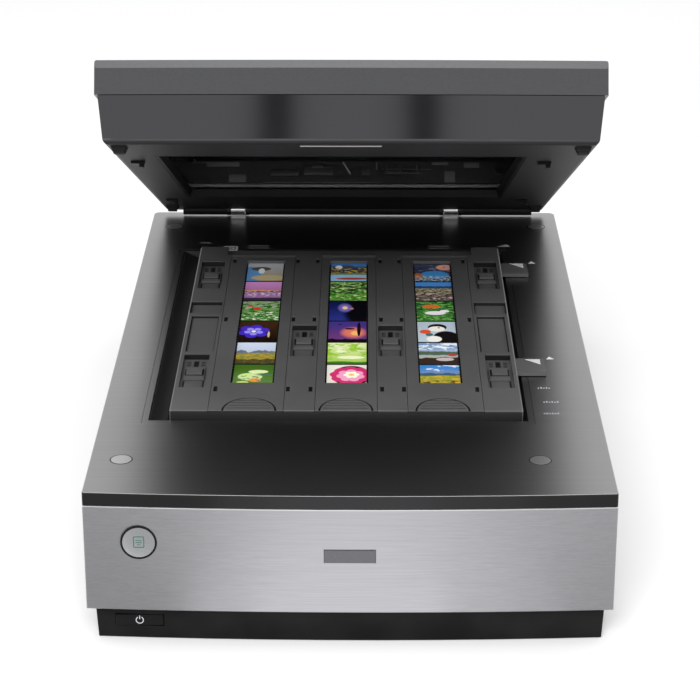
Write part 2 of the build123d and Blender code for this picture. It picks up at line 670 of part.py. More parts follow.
# ---- lid lamp drive ------------------------------------------------------------------
with BuildPart() as lid_guide_shaft:
    bar((LAMP_SHAFT_X, -418, LAMP_SHAFT_T), 368, LAMP_SHAFT_R, "Y", base=LID)
    for support_y in (-418, -56):
        block(
            around(LAMP_SHAFT_X, 4.5),
            (support_y, support_y + 6),
            (LID_FLOOR, LAMP_SHAFT_T + 5),
            base=LID,
        )
finish(lid_guide_shaft, "lid_guide_shaft")

with BuildPart() as lid_motor:
    bar((LAMP_BELT_X, LAMP_DRIVE_Y, LID_FLOOR), 23.5, 12.0, base=LID)
    bar((LAMP_BELT_X, LAMP_DRIVE_Y, LID_FLOOR + 6), 30, 2.0 + FIT, mode=Mode.SUBTRACT, base=LID)
finish(lid_motor, "lid_motor")

with BuildPart() as lid_drive_pulley:
    pulley(LAMP_BELT_X, LAMP_DRIVE_Y, LAMP_BELT_T, LAMP_PULLEY_R, LID_FLOOR + 7, 2.0, LID)
finish(lid_drive_pulley, "lid_drive_pulley")

with BuildPart() as lid_idler_pulley:
    pulley(LAMP_BELT_X, LAMP_IDLER_Y, LAMP_BELT_T, LAMP_PULLEY_R, LID_FLOOR + 22, 2.0, LID)
finish(lid_idler_pulley, "lid_idler_pulley")

with BuildPart() as lid_belt:
    belt_loop(
        LAMP_BELT_X, (LAMP_IDLER_Y, LAMP_DRIVE_Y), LAMP_BELT_T, LAMP_PULLEY_R + GAP, LID
    )
finish(lid_belt, "lid_belt")

with BuildPart() as idler_bracket:
    block(around(LAMP_BELT_X, 8), (-409, -395), (LAMP_BELT_T[0] - 3.4, LAMP_BELT_T[0] - 1.6), base=LID)
    block((-120.5, -118.5), (-409, -395), (LID_FLOOR, LAMP_BELT_T[0] - 1.6), base=LID)
    bar((LAMP_BELT_X, LAMP_IDLER_Y, 20), 20, 2.0 + FIT, mode=Mode.SUBTRACT, base=LID)
finish(idler_bracket, "idler_bracket")

with BuildPart() as lamp_carriage:
    block((-140, 112), LAMP_Y, LAMP_T, base=LID)
    block((-127, 109), grow(LAMP_Y, -2.5), (LAMP_T[0] - 1, LAMP_T[1] - 3), Mode.SUBTRACT, LID)
    bar(
        (LAMP_SHAFT_X, LAMP_Y[0] - 1, LAMP_SHAFT_T),
        40,
        LAMP_SHAFT_R + FIT,
        "Y",
        Mode.SUBTRACT,
        LID,
    )
    lamp_strand = LAMP_BELT_X - LAMP_PULLEY_R - GAP - BELT_T / 2
    block(around(lamp_strand, 3.6), (-92, -80), (LAMP_T[1] - 1, LAMP_BELT_T[1]), base=LID)
    block(
        around(lamp_strand, BELT_T / 2 + GAP),
        (-94, -78),
        (LAMP_BELT_T[0] - GAP, 40),
        Mode.SUBTRACT,
        LID,
    )
finish(lamp_carriage, "lamp_carriage")

with BuildPart() as lamp_diffuser:
    block((-126, 108), (-96, -76), (LAMP_T[0] - 0.8, LAMP_T[0] + 1.2), base=LID)
finish(lamp_diffuser, "lamp_diffuser")


# ---- film holder ---------------------------------------------------------------------
def cover_span(side, extra=0.0):
    """The left and right edges of a film cover, which keeps clear of the adjusters beside it."""
    left, right = COVER_REACH[side]
    return (STRIP_X[side] - left - extra, STRIP_X[side] + right + extra)


def latch_slots(side, in_cover):
    """Cut the latch slots of one strip, either those in its cover or those beside it."""
    for direction, reach in zip((-1, 1), COVER_REACH[side]):
        if (reach > LATCH_REACH) == in_cover:
            offset = LATCH_REACH if in_cover else max(LATCH_REACH, reach + LATCH_WALL)
            for latch_y in LATCH_Y:
                latch_x = STRIP_X[side] + direction * offset
                block(around(latch_x, 1.2), around(latch_y, 4.5), (101, 110), Mode.SUBTRACT)


with BuildPart() as holder_frame:
    block(HOLDER_X, HOLDER_Y, HOLDER_Z)
    fillet(holder_frame.edges().filter_by(Axis.Z), 2.0)
    chamfer(holder_frame.faces().sort_by(Axis.Z)[-1].edges(), 0.8)
    block(grow(HOLDER_X, -3), grow(HOLDER_Y, -3), (90, 97.3), Mode.SUBTRACT)
    for strip_x in STRIP_X.values():
        block(around(strip_x, 20), grow(FILM_Y, 6), (HOLDER_Z[0], 98))
    for tab_y in ((174.6, 198), (358.5, 380)):
        block((100, 125), tab_y, (BODY_H + 0.4, BODY_H + 3))
    for side in STRIP_X:
        recess_y = (COVER_Y[0] - GAP, COVER_PIVOT_Y + 2)
        block(cover_span(side, GAP), recess_y, (RECESS_Z, 110), Mode.SUBTRACT)
        strip_slot = around(STRIP_X[side], STRIP_W / 2 + 0.2)
        block(strip_slot, grow(STRIP_Y, 0.2), (STRIP_Z[0], 110), Mode.SUBTRACT)
        block(around(STRIP_X[side], FILM_HALF), FILM_Y, (80, 110), Mode.SUBTRACT)
        left, right = cover_span(side, 2.2)
        bar((left, COVER_PIVOT_Y, COVER_PIVOT_Z), right - left, 0.95, "X", Mode.SUBTRACT)
        latch_slots(side, in_cover=False)
    for adjuster_x, adjuster_y in ADJUSTERS.values():
        block(
            around(adjuster_x, ADJUSTER_W / 2),
            (adjuster_y, adjuster_y + ADJUSTER_L),
            (ADJUSTER_FLOOR, 110),
            Mode.SUBTRACT,
        )
    # a lower ledge along the rear, between the two rear corners
    block((-91.5, 86), (REAR_STEP_Y, 420), (99.2, 110), Mode.SUBTRACT)
    # shallow trays between the adjusters
    for tray_x in ((-109, -90.5), (84, 103)):
        block(tray_x, (205, 270), (101.0, 110), Mode.SUBTRACT)
    for tray_x in ((-111, -89.6), (83.2, 105)):
        block(tray_x, (275, 297), (100.2, 110), Mode.SUBTRACT)
finish(holder_frame, "holder_frame")

with BuildPart() as film_strips:
    for strip_x in STRIP_X.values():
        block(around(strip_x, STRIP_W / 2), STRIP_Y, STRIP_Z)
finish(film_strips, "film_strips")

for side, middle in STRIP_X.items():
    with BuildPart() as film_cover:
        block(cover_span(side), COVER_Y, COVER_Z)
        chamfer(film_cover.edges().filter_by(Axis.X).group_by(Axis.Y)[0].sort_by(Axis.Z)[-1], 0.4)
        block(around(middle, FILM_HALF), FILM_Y, (90, 110), Mode.SUBTRACT)
        # half-round finger grip at the front edge: a curved groove with ribs inside it
        with BuildSketch(BODY.offset(COVER_Z[1])):
            with Locations((middle, COVER_Y[0])):
                Ellipse(GRIP_HALF, GRIP_REACH)
                Ellipse(GRIP_HALF - GRIP_GROOVE, GRIP_REACH - GRIP_GROOVE, mode=Mode.SUBTRACT)
            for rib in range(GRIP_RIBS):
                rise = GRIP_PITCH * (rib + 1)
                half_rib = (GRIP_HALF - 3) * (1 - (rise / GRIP_REACH) ** 2) ** 0.5
                with Locations((middle, COVER_Y[0] + rise)):
                    Rectangle(2 * half_rib, GRIP_RIB_W)
        extrude(amount=-0.7, mode=Mode.SUBTRACT)
        latch_slots(side, in_cover=True)
        # rear pivot barrel with a stub pin at each end
        left, right = cover_span(side, -1.2)
        block((left, right), (COVER_Y[1] - 0.1, COVER_PIVOT_Y), around(COVER_PIVOT_Z, 0.6))
        bar((left, COVER_PIVOT_Y, COVER_PIVOT_Z), right - left, COVER_BARREL_R, "X")
        left, right = cover_span(side, 1.8)
        bar((left, COVER_PIVOT_Y, COVER_PIVOT_Z), right - left, 0.9, "X")
    finish(film_cover, f"film_cover_{side}")

for place, (adjuster_x, adjuster_y) in ADJUSTERS.items():
    slider_y = adjuster_y + ADJUSTER_L / 2
    with BuildPart() as height_adjuster:
        block(around(adjuster_x, 6.5), around(slider_y, SLIDER_L / 2), (ADJUSTER_FLOOR + GAP, 101))
        block(around(adjuster_x, 5), (slider_y - 4, slider_y + 4), (100.9, 102.4))
        for rib_y in (slider_y - 2, slider_y, slider_y + 2):
            block(around(adjuster_x, 6), around(rib_y, 0.35), (102.0, 103), Mode.SUBTRACT)
    finish(height_adjuster, f"adjuster_{place}")
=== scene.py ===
"""A flatbed scanner with its lid half open and a film holder on its bed."""
import json
import math

import bmesh
import bpy
from mathutils import Matrix, Vector


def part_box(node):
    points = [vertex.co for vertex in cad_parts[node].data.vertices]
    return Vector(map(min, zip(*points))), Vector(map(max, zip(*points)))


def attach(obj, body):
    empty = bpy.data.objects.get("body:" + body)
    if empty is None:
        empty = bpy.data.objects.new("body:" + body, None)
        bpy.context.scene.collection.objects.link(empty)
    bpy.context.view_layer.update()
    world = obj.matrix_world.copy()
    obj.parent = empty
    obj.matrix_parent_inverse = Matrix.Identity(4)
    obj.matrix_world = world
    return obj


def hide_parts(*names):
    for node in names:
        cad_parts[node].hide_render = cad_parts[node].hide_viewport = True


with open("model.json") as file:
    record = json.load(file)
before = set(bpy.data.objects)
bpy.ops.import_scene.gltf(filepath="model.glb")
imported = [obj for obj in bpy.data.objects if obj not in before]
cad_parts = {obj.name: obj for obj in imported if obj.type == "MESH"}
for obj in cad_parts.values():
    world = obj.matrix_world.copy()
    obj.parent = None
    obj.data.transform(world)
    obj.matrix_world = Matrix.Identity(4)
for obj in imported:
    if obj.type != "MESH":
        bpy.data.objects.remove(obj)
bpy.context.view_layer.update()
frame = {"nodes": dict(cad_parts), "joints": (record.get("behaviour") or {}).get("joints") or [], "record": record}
MM = 0.001

# ---- places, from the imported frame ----
PANEL_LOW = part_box("front_panel")[0]
CASE_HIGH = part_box("upper_case")[1]
PANEL_BOW = 4.5  # how far the curved front panel stands ahead of the body's front edge
FRONT = PANEL_LOW.y + PANEL_BOW * MM
TOP = CASE_HIGH.z / MM
JOINTS = {joint["name"]: joint for joint in frame["joints"]}


def frame_y(y):
    """The frame's y for a place y millimetres behind the body's front edge."""
    return FRONT + y * MM


def body_place(x=0.0, y=0.0, z=0.0):
    """Matrix from millimetres, y counted back from the body's front edge, to the frame."""
    return Matrix.Translation((x * MM, frame_y(y), z * MM)) @ Matrix.Scale(MM, 4)


def lid_place(x=0.0, y=0.0, t=0.0):
    """Matrix from the lid's own millimetres, measured from the hinge axis, to the frame."""
    forward = Vector(JOINTS["lamp_slide"]["axis"])
    back = -forward
    across = Vector((1, 0, 0))
    up = across.cross(back)
    turn = Matrix((across, back, up)).transposed().to_4x4()
    hinge = Vector(JOINTS["lid_hinge"]["pos_m"])
    hinge.x = 0.0
    return Matrix.Translation(hinge) @ turn @ Matrix.Scale(MM, 4) @ Matrix.Translation((x, y, t))


def body_span(node):
    """A body node's low and high corners in millimetres, y counted from the front edge."""
    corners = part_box(node)
    return [(p.x / MM, (p.y - FRONT) / MM, p.z / MM) for p in corners]


def middle_of(low, high, axis):
    """Half way between two corners along one axis."""
    return (low[axis] + high[axis]) / 2


BODY = body_place()
LID = lid_place()
FACE = Matrix.Rotation(math.radians(90), 4, "X")  # stands a flat drawing up, facing the front
SIDES = ("left", "centre", "right")
STRIP_HALF = 17.5
STRIP_LOW, STRIP_HIGH = body_span("film_strips")
STRIP_ENDS = (STRIP_LOW[0] + STRIP_HALF, STRIP_HIGH[0] - STRIP_HALF)
STRIP_MIDDLES = {"left": STRIP_ENDS[0], "centre": sum(STRIP_ENDS) / 2, "right": STRIP_ENDS[1]}


# ---- camera, floor and light ----
CAMERA_RIGHT = 0.0078  # metres, like the rest of this section
CAMERA_AHEAD = 1.2127
CAMERA_RISE = 0.5777
CAMERA_DOWN = 21.97  # degrees
CAMERA_TURN = 0.0064  # radians
DARK_CARDS = ((-0.174, -0.112), (0.09, 0.15))  # left and right edge
FLOOR_CARDS = (  # left and right edge, height, glow
    (-0.8, -0.1, 0.004, 0.72),
    (0.13, 0.8, 0.004, 0.85),
    (-0.1, 0.1, 0.004, 1.35),
    (-0.06, 0.06, 0.006, 1.75),
)


def make_camera():
    """A long lens a little right of the middle, looking down at the front."""
    data = bpy.data.cameras.new("camera")
    data.sensor_width = 36.0
    data.lens = 120.4
    data.clip_end = 20
    camera = bpy.data.objects.new("camera", data)
    camera.location = (CAMERA_RIGHT, FRONT - CAMERA_AHEAD, TOP * MM + CAMERA_RISE)
    camera.rotation_euler = (math.radians(90 - CAMERA_DOWN), 0, CAMERA_TURN)
    bpy.context.scene.collection.objects.link(camera)
    bpy.context.scene.camera = camera


def make_light(name, location, target, size, power):
    """A rectangular soft light that faces a point."""
    data = bpy.data.lights.new(name, "AREA")
    data.shape = "RECTANGLE"
    data.size, data.size_y = size
    data.energy = power
    light = bpy.data.objects.new(name, data)
    light.location = location
    light.rotation_euler = (Vector(target) - Vector(location)).to_track_quat("-Z", "Y").to_euler()
    bpy.context.scene.collection.objects.link(light)
    return light


def make_card(name, corners, grey, glow):
    """A flat sheet of the studio, which may glow faintly."""
    mesh = bpy.data.meshes.new(name)
    mesh.from_pydata(corners, [], [(0, 1, 2, 3)])
    card = bpy.data.objects.new(name, mesh)
    bpy.context.scene.collection.objects.link(card)
    material = bpy.data.materials.new(name)
    material.use_nodes = True
    shader = material.node_tree.nodes["Principled BSDF"]
    shader.inputs["Base Color"].default_value = (grey, grey, grey, 1)
    shader.inputs["Roughness"].default_value = 0.9
    shader.inputs["Emission Color"].default_value = (1, 1, 1, 1)
    shader.inputs["Emission Strength"].default_value = glow
    card.data.materials.append(material)
    return card


def make_stage():
    """Pale floor, white surroundings, soft lights, and cards that only reflections show."""
    size = 6.0
    corners = [(-size, -size, 0), (size, -size, 0), (size, size, 0), (-size, size, 0)]
    make_card("floor", corners, 0.6, 0.22)
    world = bpy.data.worlds.new("studio")
    bpy.context.scene.world = world
    world.use_nodes = True
    world.node_tree.nodes["Background"].inputs["Color"].default_value = (1, 1, 1, 1)
    world.node_tree.nodes["Background"].inputs["Strength"].default_value = 1.0
    make_light("overhead", (0, 0.1, 2.2), (0, 0.1, 0), (1.2, 1.2), 10)
    key = make_light("front_key", (-0.2, FRONT - 1.6, 1.5), (0, FRONT + 0.15, 0.1), (1.0, 0.8), 45)
    key.visible_glossy = False
    # seen only in reflections: dark strips behind the camera, and glowing cards on the floor
    y, low, high = FRONT - 1.4, 0.5, 1.3
    cards = []
    for left, right in DARK_CARDS:
        cards.append(([(left, y, low), (right, y, low), (right, y, high), (left, y, high)], 0.0))
    near, far = FRONT - 0.01, FRONT - 0.36
    for left, right, z, glow in FLOOR_CARDS:
        cards.append(([(left, far, z), (right, far, z), (right, near, z), (left, near, z)], glow))
    for corners, glow in cards:
        card = make_card("reflected_card", corners, 0.0, glow)
        card.visible_camera = False
        card.visible_shadow = False
        card.visible_diffuse = False
    bpy.context.scene.view_settings.view_transform = "Standard"


# ---- node arithmetic ----
class Num:
    """A number in a material's node tree that takes part in plain arithmetic."""

    def __init__(self, tree, socket):
        self.tree = tree
        self.socket = socket

    def math(self, operation, *others):
        node = self.tree.nodes.new("ShaderNodeMath")
        node.operation = operation
        for index, value in enumerate((self, *others)):
            if isinstance(value, Num):
                self.tree.links.new(value.socket, node.inputs[index])
            else:
                node.inputs[index].default_value = value
        return Num(self.tree, node.outputs[0])

    def __add__(self, other):
        return self.math("ADD", other)

    def __sub__(self, other):
        return self.math("SUBTRACT", other)

    def __mul__(self, other):
        return self.math("MULTIPLY", other)

    def __truediv__(self, other):
        return self.math("DIVIDE", other)

    def __neg__(self):
        return self.math("MULTIPLY", -1.0)

    __radd__ = __add__
    __rmul__ = __mul__

    def __rsub__(self, other):
        return (-self) + other

    def step(self, low, high):
        """0 below low, 1 above high, and a smooth rise between them; low above high falls."""
        node = self.tree.nodes.new("ShaderNodeMapRange")
        node.interpolation_type = "SMOOTHSTEP"
        self.tree.links.new(self.socket, node.inputs["Value"])
        flip = low > high
        node.inputs["From Min"].default_value = high if flip else low
        node.inputs["From Max"].default_value = low if flip else high
        node.inputs["To Min"].default_value = 1.0 if flip else 0.0
        node.inputs["To Max"].default_value = 0.0 if flip else 1.0
        return Num(self.tree, node.outputs["Result"])


class Surface:
    """One material: a Principled shader and short ways to drive it from procedural nodes."""

    def __init__(self, name, color, rough, metal=0.0):
        self.material = bpy.data.materials.new(name)
        self.material.use_nodes = True
        self.tree = self.material.node_tree
        self.shader = self.tree.nodes["Principled BSDF"]
        self.shader.inputs["Base Color"].default_value = (*color, 1)
        self.shader.inputs["Roughness"].default_value = rough
        self.shader.inputs["Metallic"].default_value = metal
        self.place = self.tree.nodes.new("ShaderNodeTexCoord").outputs["Object"]

    def socket(self, key):
        return self.shader.inputs[key.replace("_", " ").title().replace("Ior", "IOR")]

    def set(self, **values):
        for key, value in values.items():
            self.socket(key).default_value = value
        return self

    def mapped(self, scale, offset):
        node = self.tree.nodes.new("ShaderNodeMapping")
        self.tree.links.new(self.place, node.inputs["Vector"])
        node.inputs["Scale"].default_value = scale
        node.inputs["Location"].default_value = offset
        return node.outputs["Vector"]

    def noise(self, scale, detail, offset=(0, 0, 0), roughness=0.5):
        """Noise from about 0.25 to 0.75. Scale is cells per metre, one number or one per axis."""
        axes = scale if isinstance(scale, tuple) else (scale, scale, scale)
        node = self.tree.nodes.new("ShaderNodeTexNoise")
        self.tree.links.new(self.mapped(axes, offset), node.inputs["Vector"])
        node.inputs["Scale"].default_value = 1.0
        node.inputs["Detail"].default_value = detail
        node.inputs["Roughness"].default_value = roughness
        return Num(self.tree, node.outputs["Fac"])

    def flakes(self, scale):
        """A random number for each of many small cells. Scale is cells per metre."""
        node = self.tree.nodes.new("ShaderNodeTexVoronoi")
        place = self.mapped((scale, scale, scale), (0, 0, 0))
        self.tree.links.new(place, node.inputs["Vector"])
        node.inputs["Scale"].default_value = 1.0
        split = self.tree.nodes.new("ShaderNodeSeparateColor")
        self.tree.links.new(node.outputs["Color"], split.inputs["Color"])
        return Num(self.tree, split.outputs[0])

    def axis(self, name):
        node = self.tree.nodes.new("ShaderNodeSeparateXYZ")
        self.tree.links.new(self.place, node.inputs[0])
        return Num(self.tree, node.outputs[name])

    def blend(self, factor, under, over):
        """A colour that goes from under to over as factor goes from 0 to 1."""
        node = self.tree.nodes.new("ShaderNodeMix")
        node.data_type = "RGBA"
        node.clamp_factor = True
        self.tree.links.new(factor.socket, node.inputs[0])
        for socket, value in ((node.inputs[6], under), (node.inputs[7], over)):
            if isinstance(value, tuple):
                socket.default_value = (*value, 1)
            else:
                self.tree.links.new(value, socket)
        return node.outputs[2]

    def drive(self, **sockets):
        for key, value in sockets.items():
            source = value.socket if isinstance(value, Num) else value
            self.tree.links.new(source, self.socket(key))
        return self

    def bump(self, height, distance, strength):
        node = self.tree.nodes.new("ShaderNodeBump")
        node.inputs["Strength"].default_value = strength
        node.inputs["Distance"].default_value = distance
        self.tree.links.new(height.socket, node.inputs["Height"])
        self.tree.links.new(node.outputs["Normal"], self.shader.inputs["Normal"])
        return self

    def grain_along(self, axis):
        """Brushing that runs around this axis, for stretched highlights."""
        node = self.tree.nodes.new("ShaderNodeTangent")
        node.direction_type = "RADIAL"
        node.axis = axis
        self.tree.links.new(node.outputs[0], self.shader.inputs["Tangent"])
        return self


# ---- materials ----
def tint(red, green, blue):
    """A linear colour from the 0 to 255 numbers of an ordinary colour picker."""
    return tuple(((value / 255 + 0.055) / 1.055) ** 2.4 for value in (red, green, blue))


def plastic(name, color, rough, **extra):
    """Moulded plastic with a fine grain, a little cloudy in its colour and gloss."""
    surface = Surface(name, color, rough)
    fine = surface.noise(1400.0, 2.0)
    cloud = surface.noise(24.0, 4.0)
    lighter = tuple(min(1.0, c * 1.25 + 0.004) for c in color)
    surface.drive(base_color=surface.blend(cloud.step(0.35, 0.7), color, lighter))
    surface.drive(roughness=cloud * 0.08 + (rough - 0.04))
    surface.bump(fine, 0.00003, 0.6)
    return surface.set(**extra).material


def painted_top(name, color, rough):
    """Dark brushed metal paint, with a glossy black band at the front, and painted shade on the rear edge in place
    of the bright reflection it would show.
    """
    surface = Surface(name, color, rough, 1.0)
    band_top = (TOP - 0.05) * MM
    front_zone = surface.axis("Y").step(frame_y(4.0), frame_y(3.5))
    band = front_zone * surface.axis("Z").step(band_top, band_top - 0.3 * MM)
    streaks = surface.noise((5.0, 1500.0, 1500.0), 3.0)
    cloud = surface.noise(9.0, 3.0)
    lighter = tuple(c * 1.07 for c in color)
    paint = surface.blend(streaks.step(0.36, 0.66), color, lighter)
    # painted shade: the top's rear edge is painted near black so that it shows no bright reflection
    rear_edge_shade = surface.axis("Y").step(frame_y(501.5), frame_y(502.0))
    rear_edge_shade = rear_edge_shade * surface.axis("Z").step(band_top - 1.5 * MM, band_top - 1.0 * MM)
    # dark joins the real black front band and the painted shade on the rear edge
    dark = band.math("MAXIMUM", rear_edge_shade)
    surface.drive(base_color=surface.blend(dark, paint, (0.004, 0.004, 0.004)))
    surface.drive(metallic=1.0 - band)
    surface.drive(roughness=cloud * 0.05 + streaks * 0.02 + band * -0.12 + (rough - 0.03))
    surface.bump(streaks, 0.000003, 0.3)
    return surface.set(specular_ior_level=0.3).material


def shell_paint(name, color, rough):
    """Polished dark paint outside, and dull black plastic on the lid's underside and hinge."""
    surface = Surface(name, color, rough, 1.0)
    hinge = Vector(JOINTS["lid_hinge"]["pos_m"])
    up = LID.to_3x3().col[2].normalized()
    across_y = surface.axis("Y") - hinge.y
    height = across_y * up.y + (surface.axis("Z") - hinge.z) * up.z
    depth = across_y * up.z - (surface.axis("Z") - hinge.z) * up.y
    under = height.step(3.2 * MM, 1.2 * MM).math("MAXIMUM", depth.step(-12 * MM, -11 * MM))
    cloud = surface.noise(12.0, 3.0)
    surface.drive(base_color=surface.blend(under, color, (0.01, 0.01, 0.011)))
    surface.drive(metallic=1.0 - under)
    surface.drive(roughness=cloud * 0.04 + under * 0.4 + (rough - 0.02))
    return surface.set(specular_ior_level=0.25).material


def rim_paint(name, color, rough):
    """Black plastic whose level top edge is painted like the case, but for the rear edge, left black as painted
    shade in place of its reflection.
    """
    surface = Surface(name, color, rough)
    # painted shade: the rear top edge stays black so that it shows no bright reflection
    outside_rear_shade = surface.axis("Y").step(frame_y(413.4), frame_y(413.0))
    level = outside_rear_shade * surface.axis("Z").step((TOP - 0.6) * MM, (TOP - 0.5) * MM)
    surface.drive(base_color=surface.blend(level, color, CASE_COLOR))
    surface.drive(metallic=level)
    surface.drive(roughness=level * (0.3 - rough) + rough)
    return surface.material


def holder_paint(name, color, rough):
    """Satin plastic with a fine grain, with painted shade darkening the wall at the front."""
    surface = Surface(name, color, rough)
    cloud = surface.noise(24.0, 4.0)
    # painted shade: the holder's front wall is painted near black
    front = surface.axis("Y").step(frame_y(108.6), frame_y(108.3))
    lighter = tuple(c * 1.12 for c in color)
    grey = surface.blend(cloud.step(0.35, 0.7), color, lighter)
    surface.drive(base_color=surface.blend(front, grey, (0.016, 0.016, 0.017)))
    surface.drive(roughness=cloud * 0.06 + (rough - 0.03))
    surface.bump(surface.noise(1500.0, 2.0), 0.00002, 0.5)
    return surface.set(specular_ior_level=0.4).material


def satin_paint(name, color, rough, metal):
    """Smooth paint with very fine flake and faint clouding."""
    surface = Surface(name, color, rough, metal)
    flake = surface.flakes(1600.0)
    cloud = surface.noise(9.0, 3.0)
    lighter = tuple(c * 1.12 for c in color)
    surface.drive(base_color=surface.blend(flake, color, lighter))
    surface.drive(roughness=cloud * 0.05 + (rough - 0.025))
    return surface.material


def brushed_metal(name, color, rough):
    """Aluminium brushed from side to side: long streaks, and a painted highlight along the top edge."""
    surface = Surface(name, color, rough, 1.0)
    fine = surface.noise((14.0, 4200.0, 4200.0), 2.0)
    broad = surface.noise((9.0, 1300.0, 1300.0), 2.0, offset=(3.1, 0, 7.7))
    streak = fine * 0.6 + broad * 0.4
    dark = tuple(c * 0.93 for c in color)
    light = tuple(min(1.0, c * 1.06) for c in color)
    brushed = surface.blend(streak.step(0.34, 0.66), dark, light)
    # painted highlight: a near-white line along the panel's top edge
    edge = surface.axis("Z").step(88.85 * MM, 89.1 * MM)
    surface.drive(base_color=surface.blend(edge, brushed, (0.85, 0.85, 0.86)))
    surface.drive(roughness=fine * 0.12 + (rough - 0.06))
    surface.bump(fine, 0.000008, 0.3)
    surface.grain_along("Z")
    return surface.set(anisotropic=0.5).material


def bright_metal(name, color, rough):
    """Smooth metal with faint handling marks."""
    surface = Surface(name, color, rough, 1.0)
    marks = surface.noise(160.0, 4.0)
    surface.drive(roughness=marks * 0.12 + max(0.02, rough - 0.06))
    surface.bump(surface.noise(700.0, 2.0), 0.000004, 0.3)
    return surface.material


def clear_glass(name, color, alpha):
    """Thin glass: mostly see-through, with a polished reflection and faint dust."""
    surface = Surface(name, color, 0.03)
    dust = surface.noise(300.0, 5.0)
    surface.drive(roughness=dust.step(0.55, 0.8) * 0.12 + 0.02)
    return surface.set(alpha=alpha).material


CASE_COLOR = (0.32, 0.32, 0.325)
MATERIALS = {
    "case_dark": painted_top("case_dark", CASE_COLOR, 0.3),
    "lid_dark": shell_paint("lid_dark", (0.078, 0.078, 0.082), 0.1),
    "brushed_front": brushed_metal("brushed_front", (0.33, 0.33, 0.345), 0.36),
    "black_plastic": plastic("black_plastic", (0.003, 0.003, 0.003), 0.4, specular_ior_level=0.12),
    "inner_black": plastic("inner_black", (0.02, 0.02, 0.021), 0.45),
    "holder_plastic": holder_paint("holder_plastic", (0.088, 0.088, 0.09), 0.36),
    "film": plastic("film", (0.012, 0.01, 0.009), 0.12),
    "button_metal": bright_metal("button_metal", (0.42, 0.425, 0.435), 0.26),
    "dark_ring": bright_metal("dark_ring", (0.03, 0.03, 0.03), 0.18),
    "cap_plastic": satin_paint("cap_plastic", (0.5, 0.5, 0.505), 0.3, 0.95),
    "rubber": plastic("rubber", (0.008, 0.008, 0.008), 0.75, specular_ior_level=0.2),
    "belt_rubber": plastic("belt_rubber", (0.03, 0.03, 0.03), 0.7),
    "clear_glass": clear_glass("clear_glass", (0.01, 0.011, 0.011), 0.6),
    "lid_window": clear_glass("lid_window", (0.012, 0.012, 0.013), 0.2),
    "white_plastic": plastic("white_plastic", (0.8, 0.8, 0.78), 0.4),
    "steel": bright_metal("steel", (0.5, 0.5, 0.52), 0.3),
    "chrome": bright_metal("chrome", (0.86, 0.86, 0.87), 0.09),
    "mirror": bright_metal("mirror", (0.9, 0.9, 0.9), 0.05),
    "circuit_board": plastic("circuit_board", (0.02, 0.14, 0.05), 0.35),
    "ribbon": plastic("ribbon", (0.6, 0.62, 0.65), 0.3),
}
CAP_PAINT = satin_paint("lid_cap_paint", (0.085, 0.086, 0.09), 0.36, 0.9)
DARK_STEEL = bright_metal("dark_steel", (0.05, 0.05, 0.05), 0.35)
WHITE_PRINT = plastic("white_print", tint(205, 205, 205), 0.5)
GREY_PRINT = plastic("grey_print", tint(165, 165, 168), 0.5)
GREEN_PRINT = plastic("green_print", tint(8, 84, 70), 0.5)
DULL_GREY = plastic("dull_grey", tint(112, 112, 112), 0.5)
DEEP_BLACK = plastic("deep_black", (0.004, 0.004, 0.004), 0.5)
BADGE_PAINT = satin_paint("badge_paint", tint(84, 84, 87), 0.3, 0.7)
RIM_PAINT = rim_paint("rim_paint", (0.01, 0.01, 0.01), 0.4)
NODE_PAINT = {
    "lid_cap": CAP_PAINT,
    "hinge_brackets": DEEP_BLACK,
    "badge_plate": BADGE_PAINT,
    "bed_frame": RIM_PAINT,
}


def paint_nodes():
    """Every CAD node takes its slot's procedural material, or one of its own."""
    for entry in frame["record"]["subparts"]:
        node = frame["nodes"][entry["node"]]
        material = NODE_PAINT.get(entry["node"], MATERIALS[entry["material_slot"]])
        for place in node.material_slots:
            place.material = material


# ---- mesh building ----
def span(middle, half):
    """Low and high ends of a stretch round a middle."""
    return (middle - half, middle + half)


def laid_on(level, rise):
    """Heights of something laid on a surface: from just inside it to a little above it."""
    return (level - 0.1, level + rise)


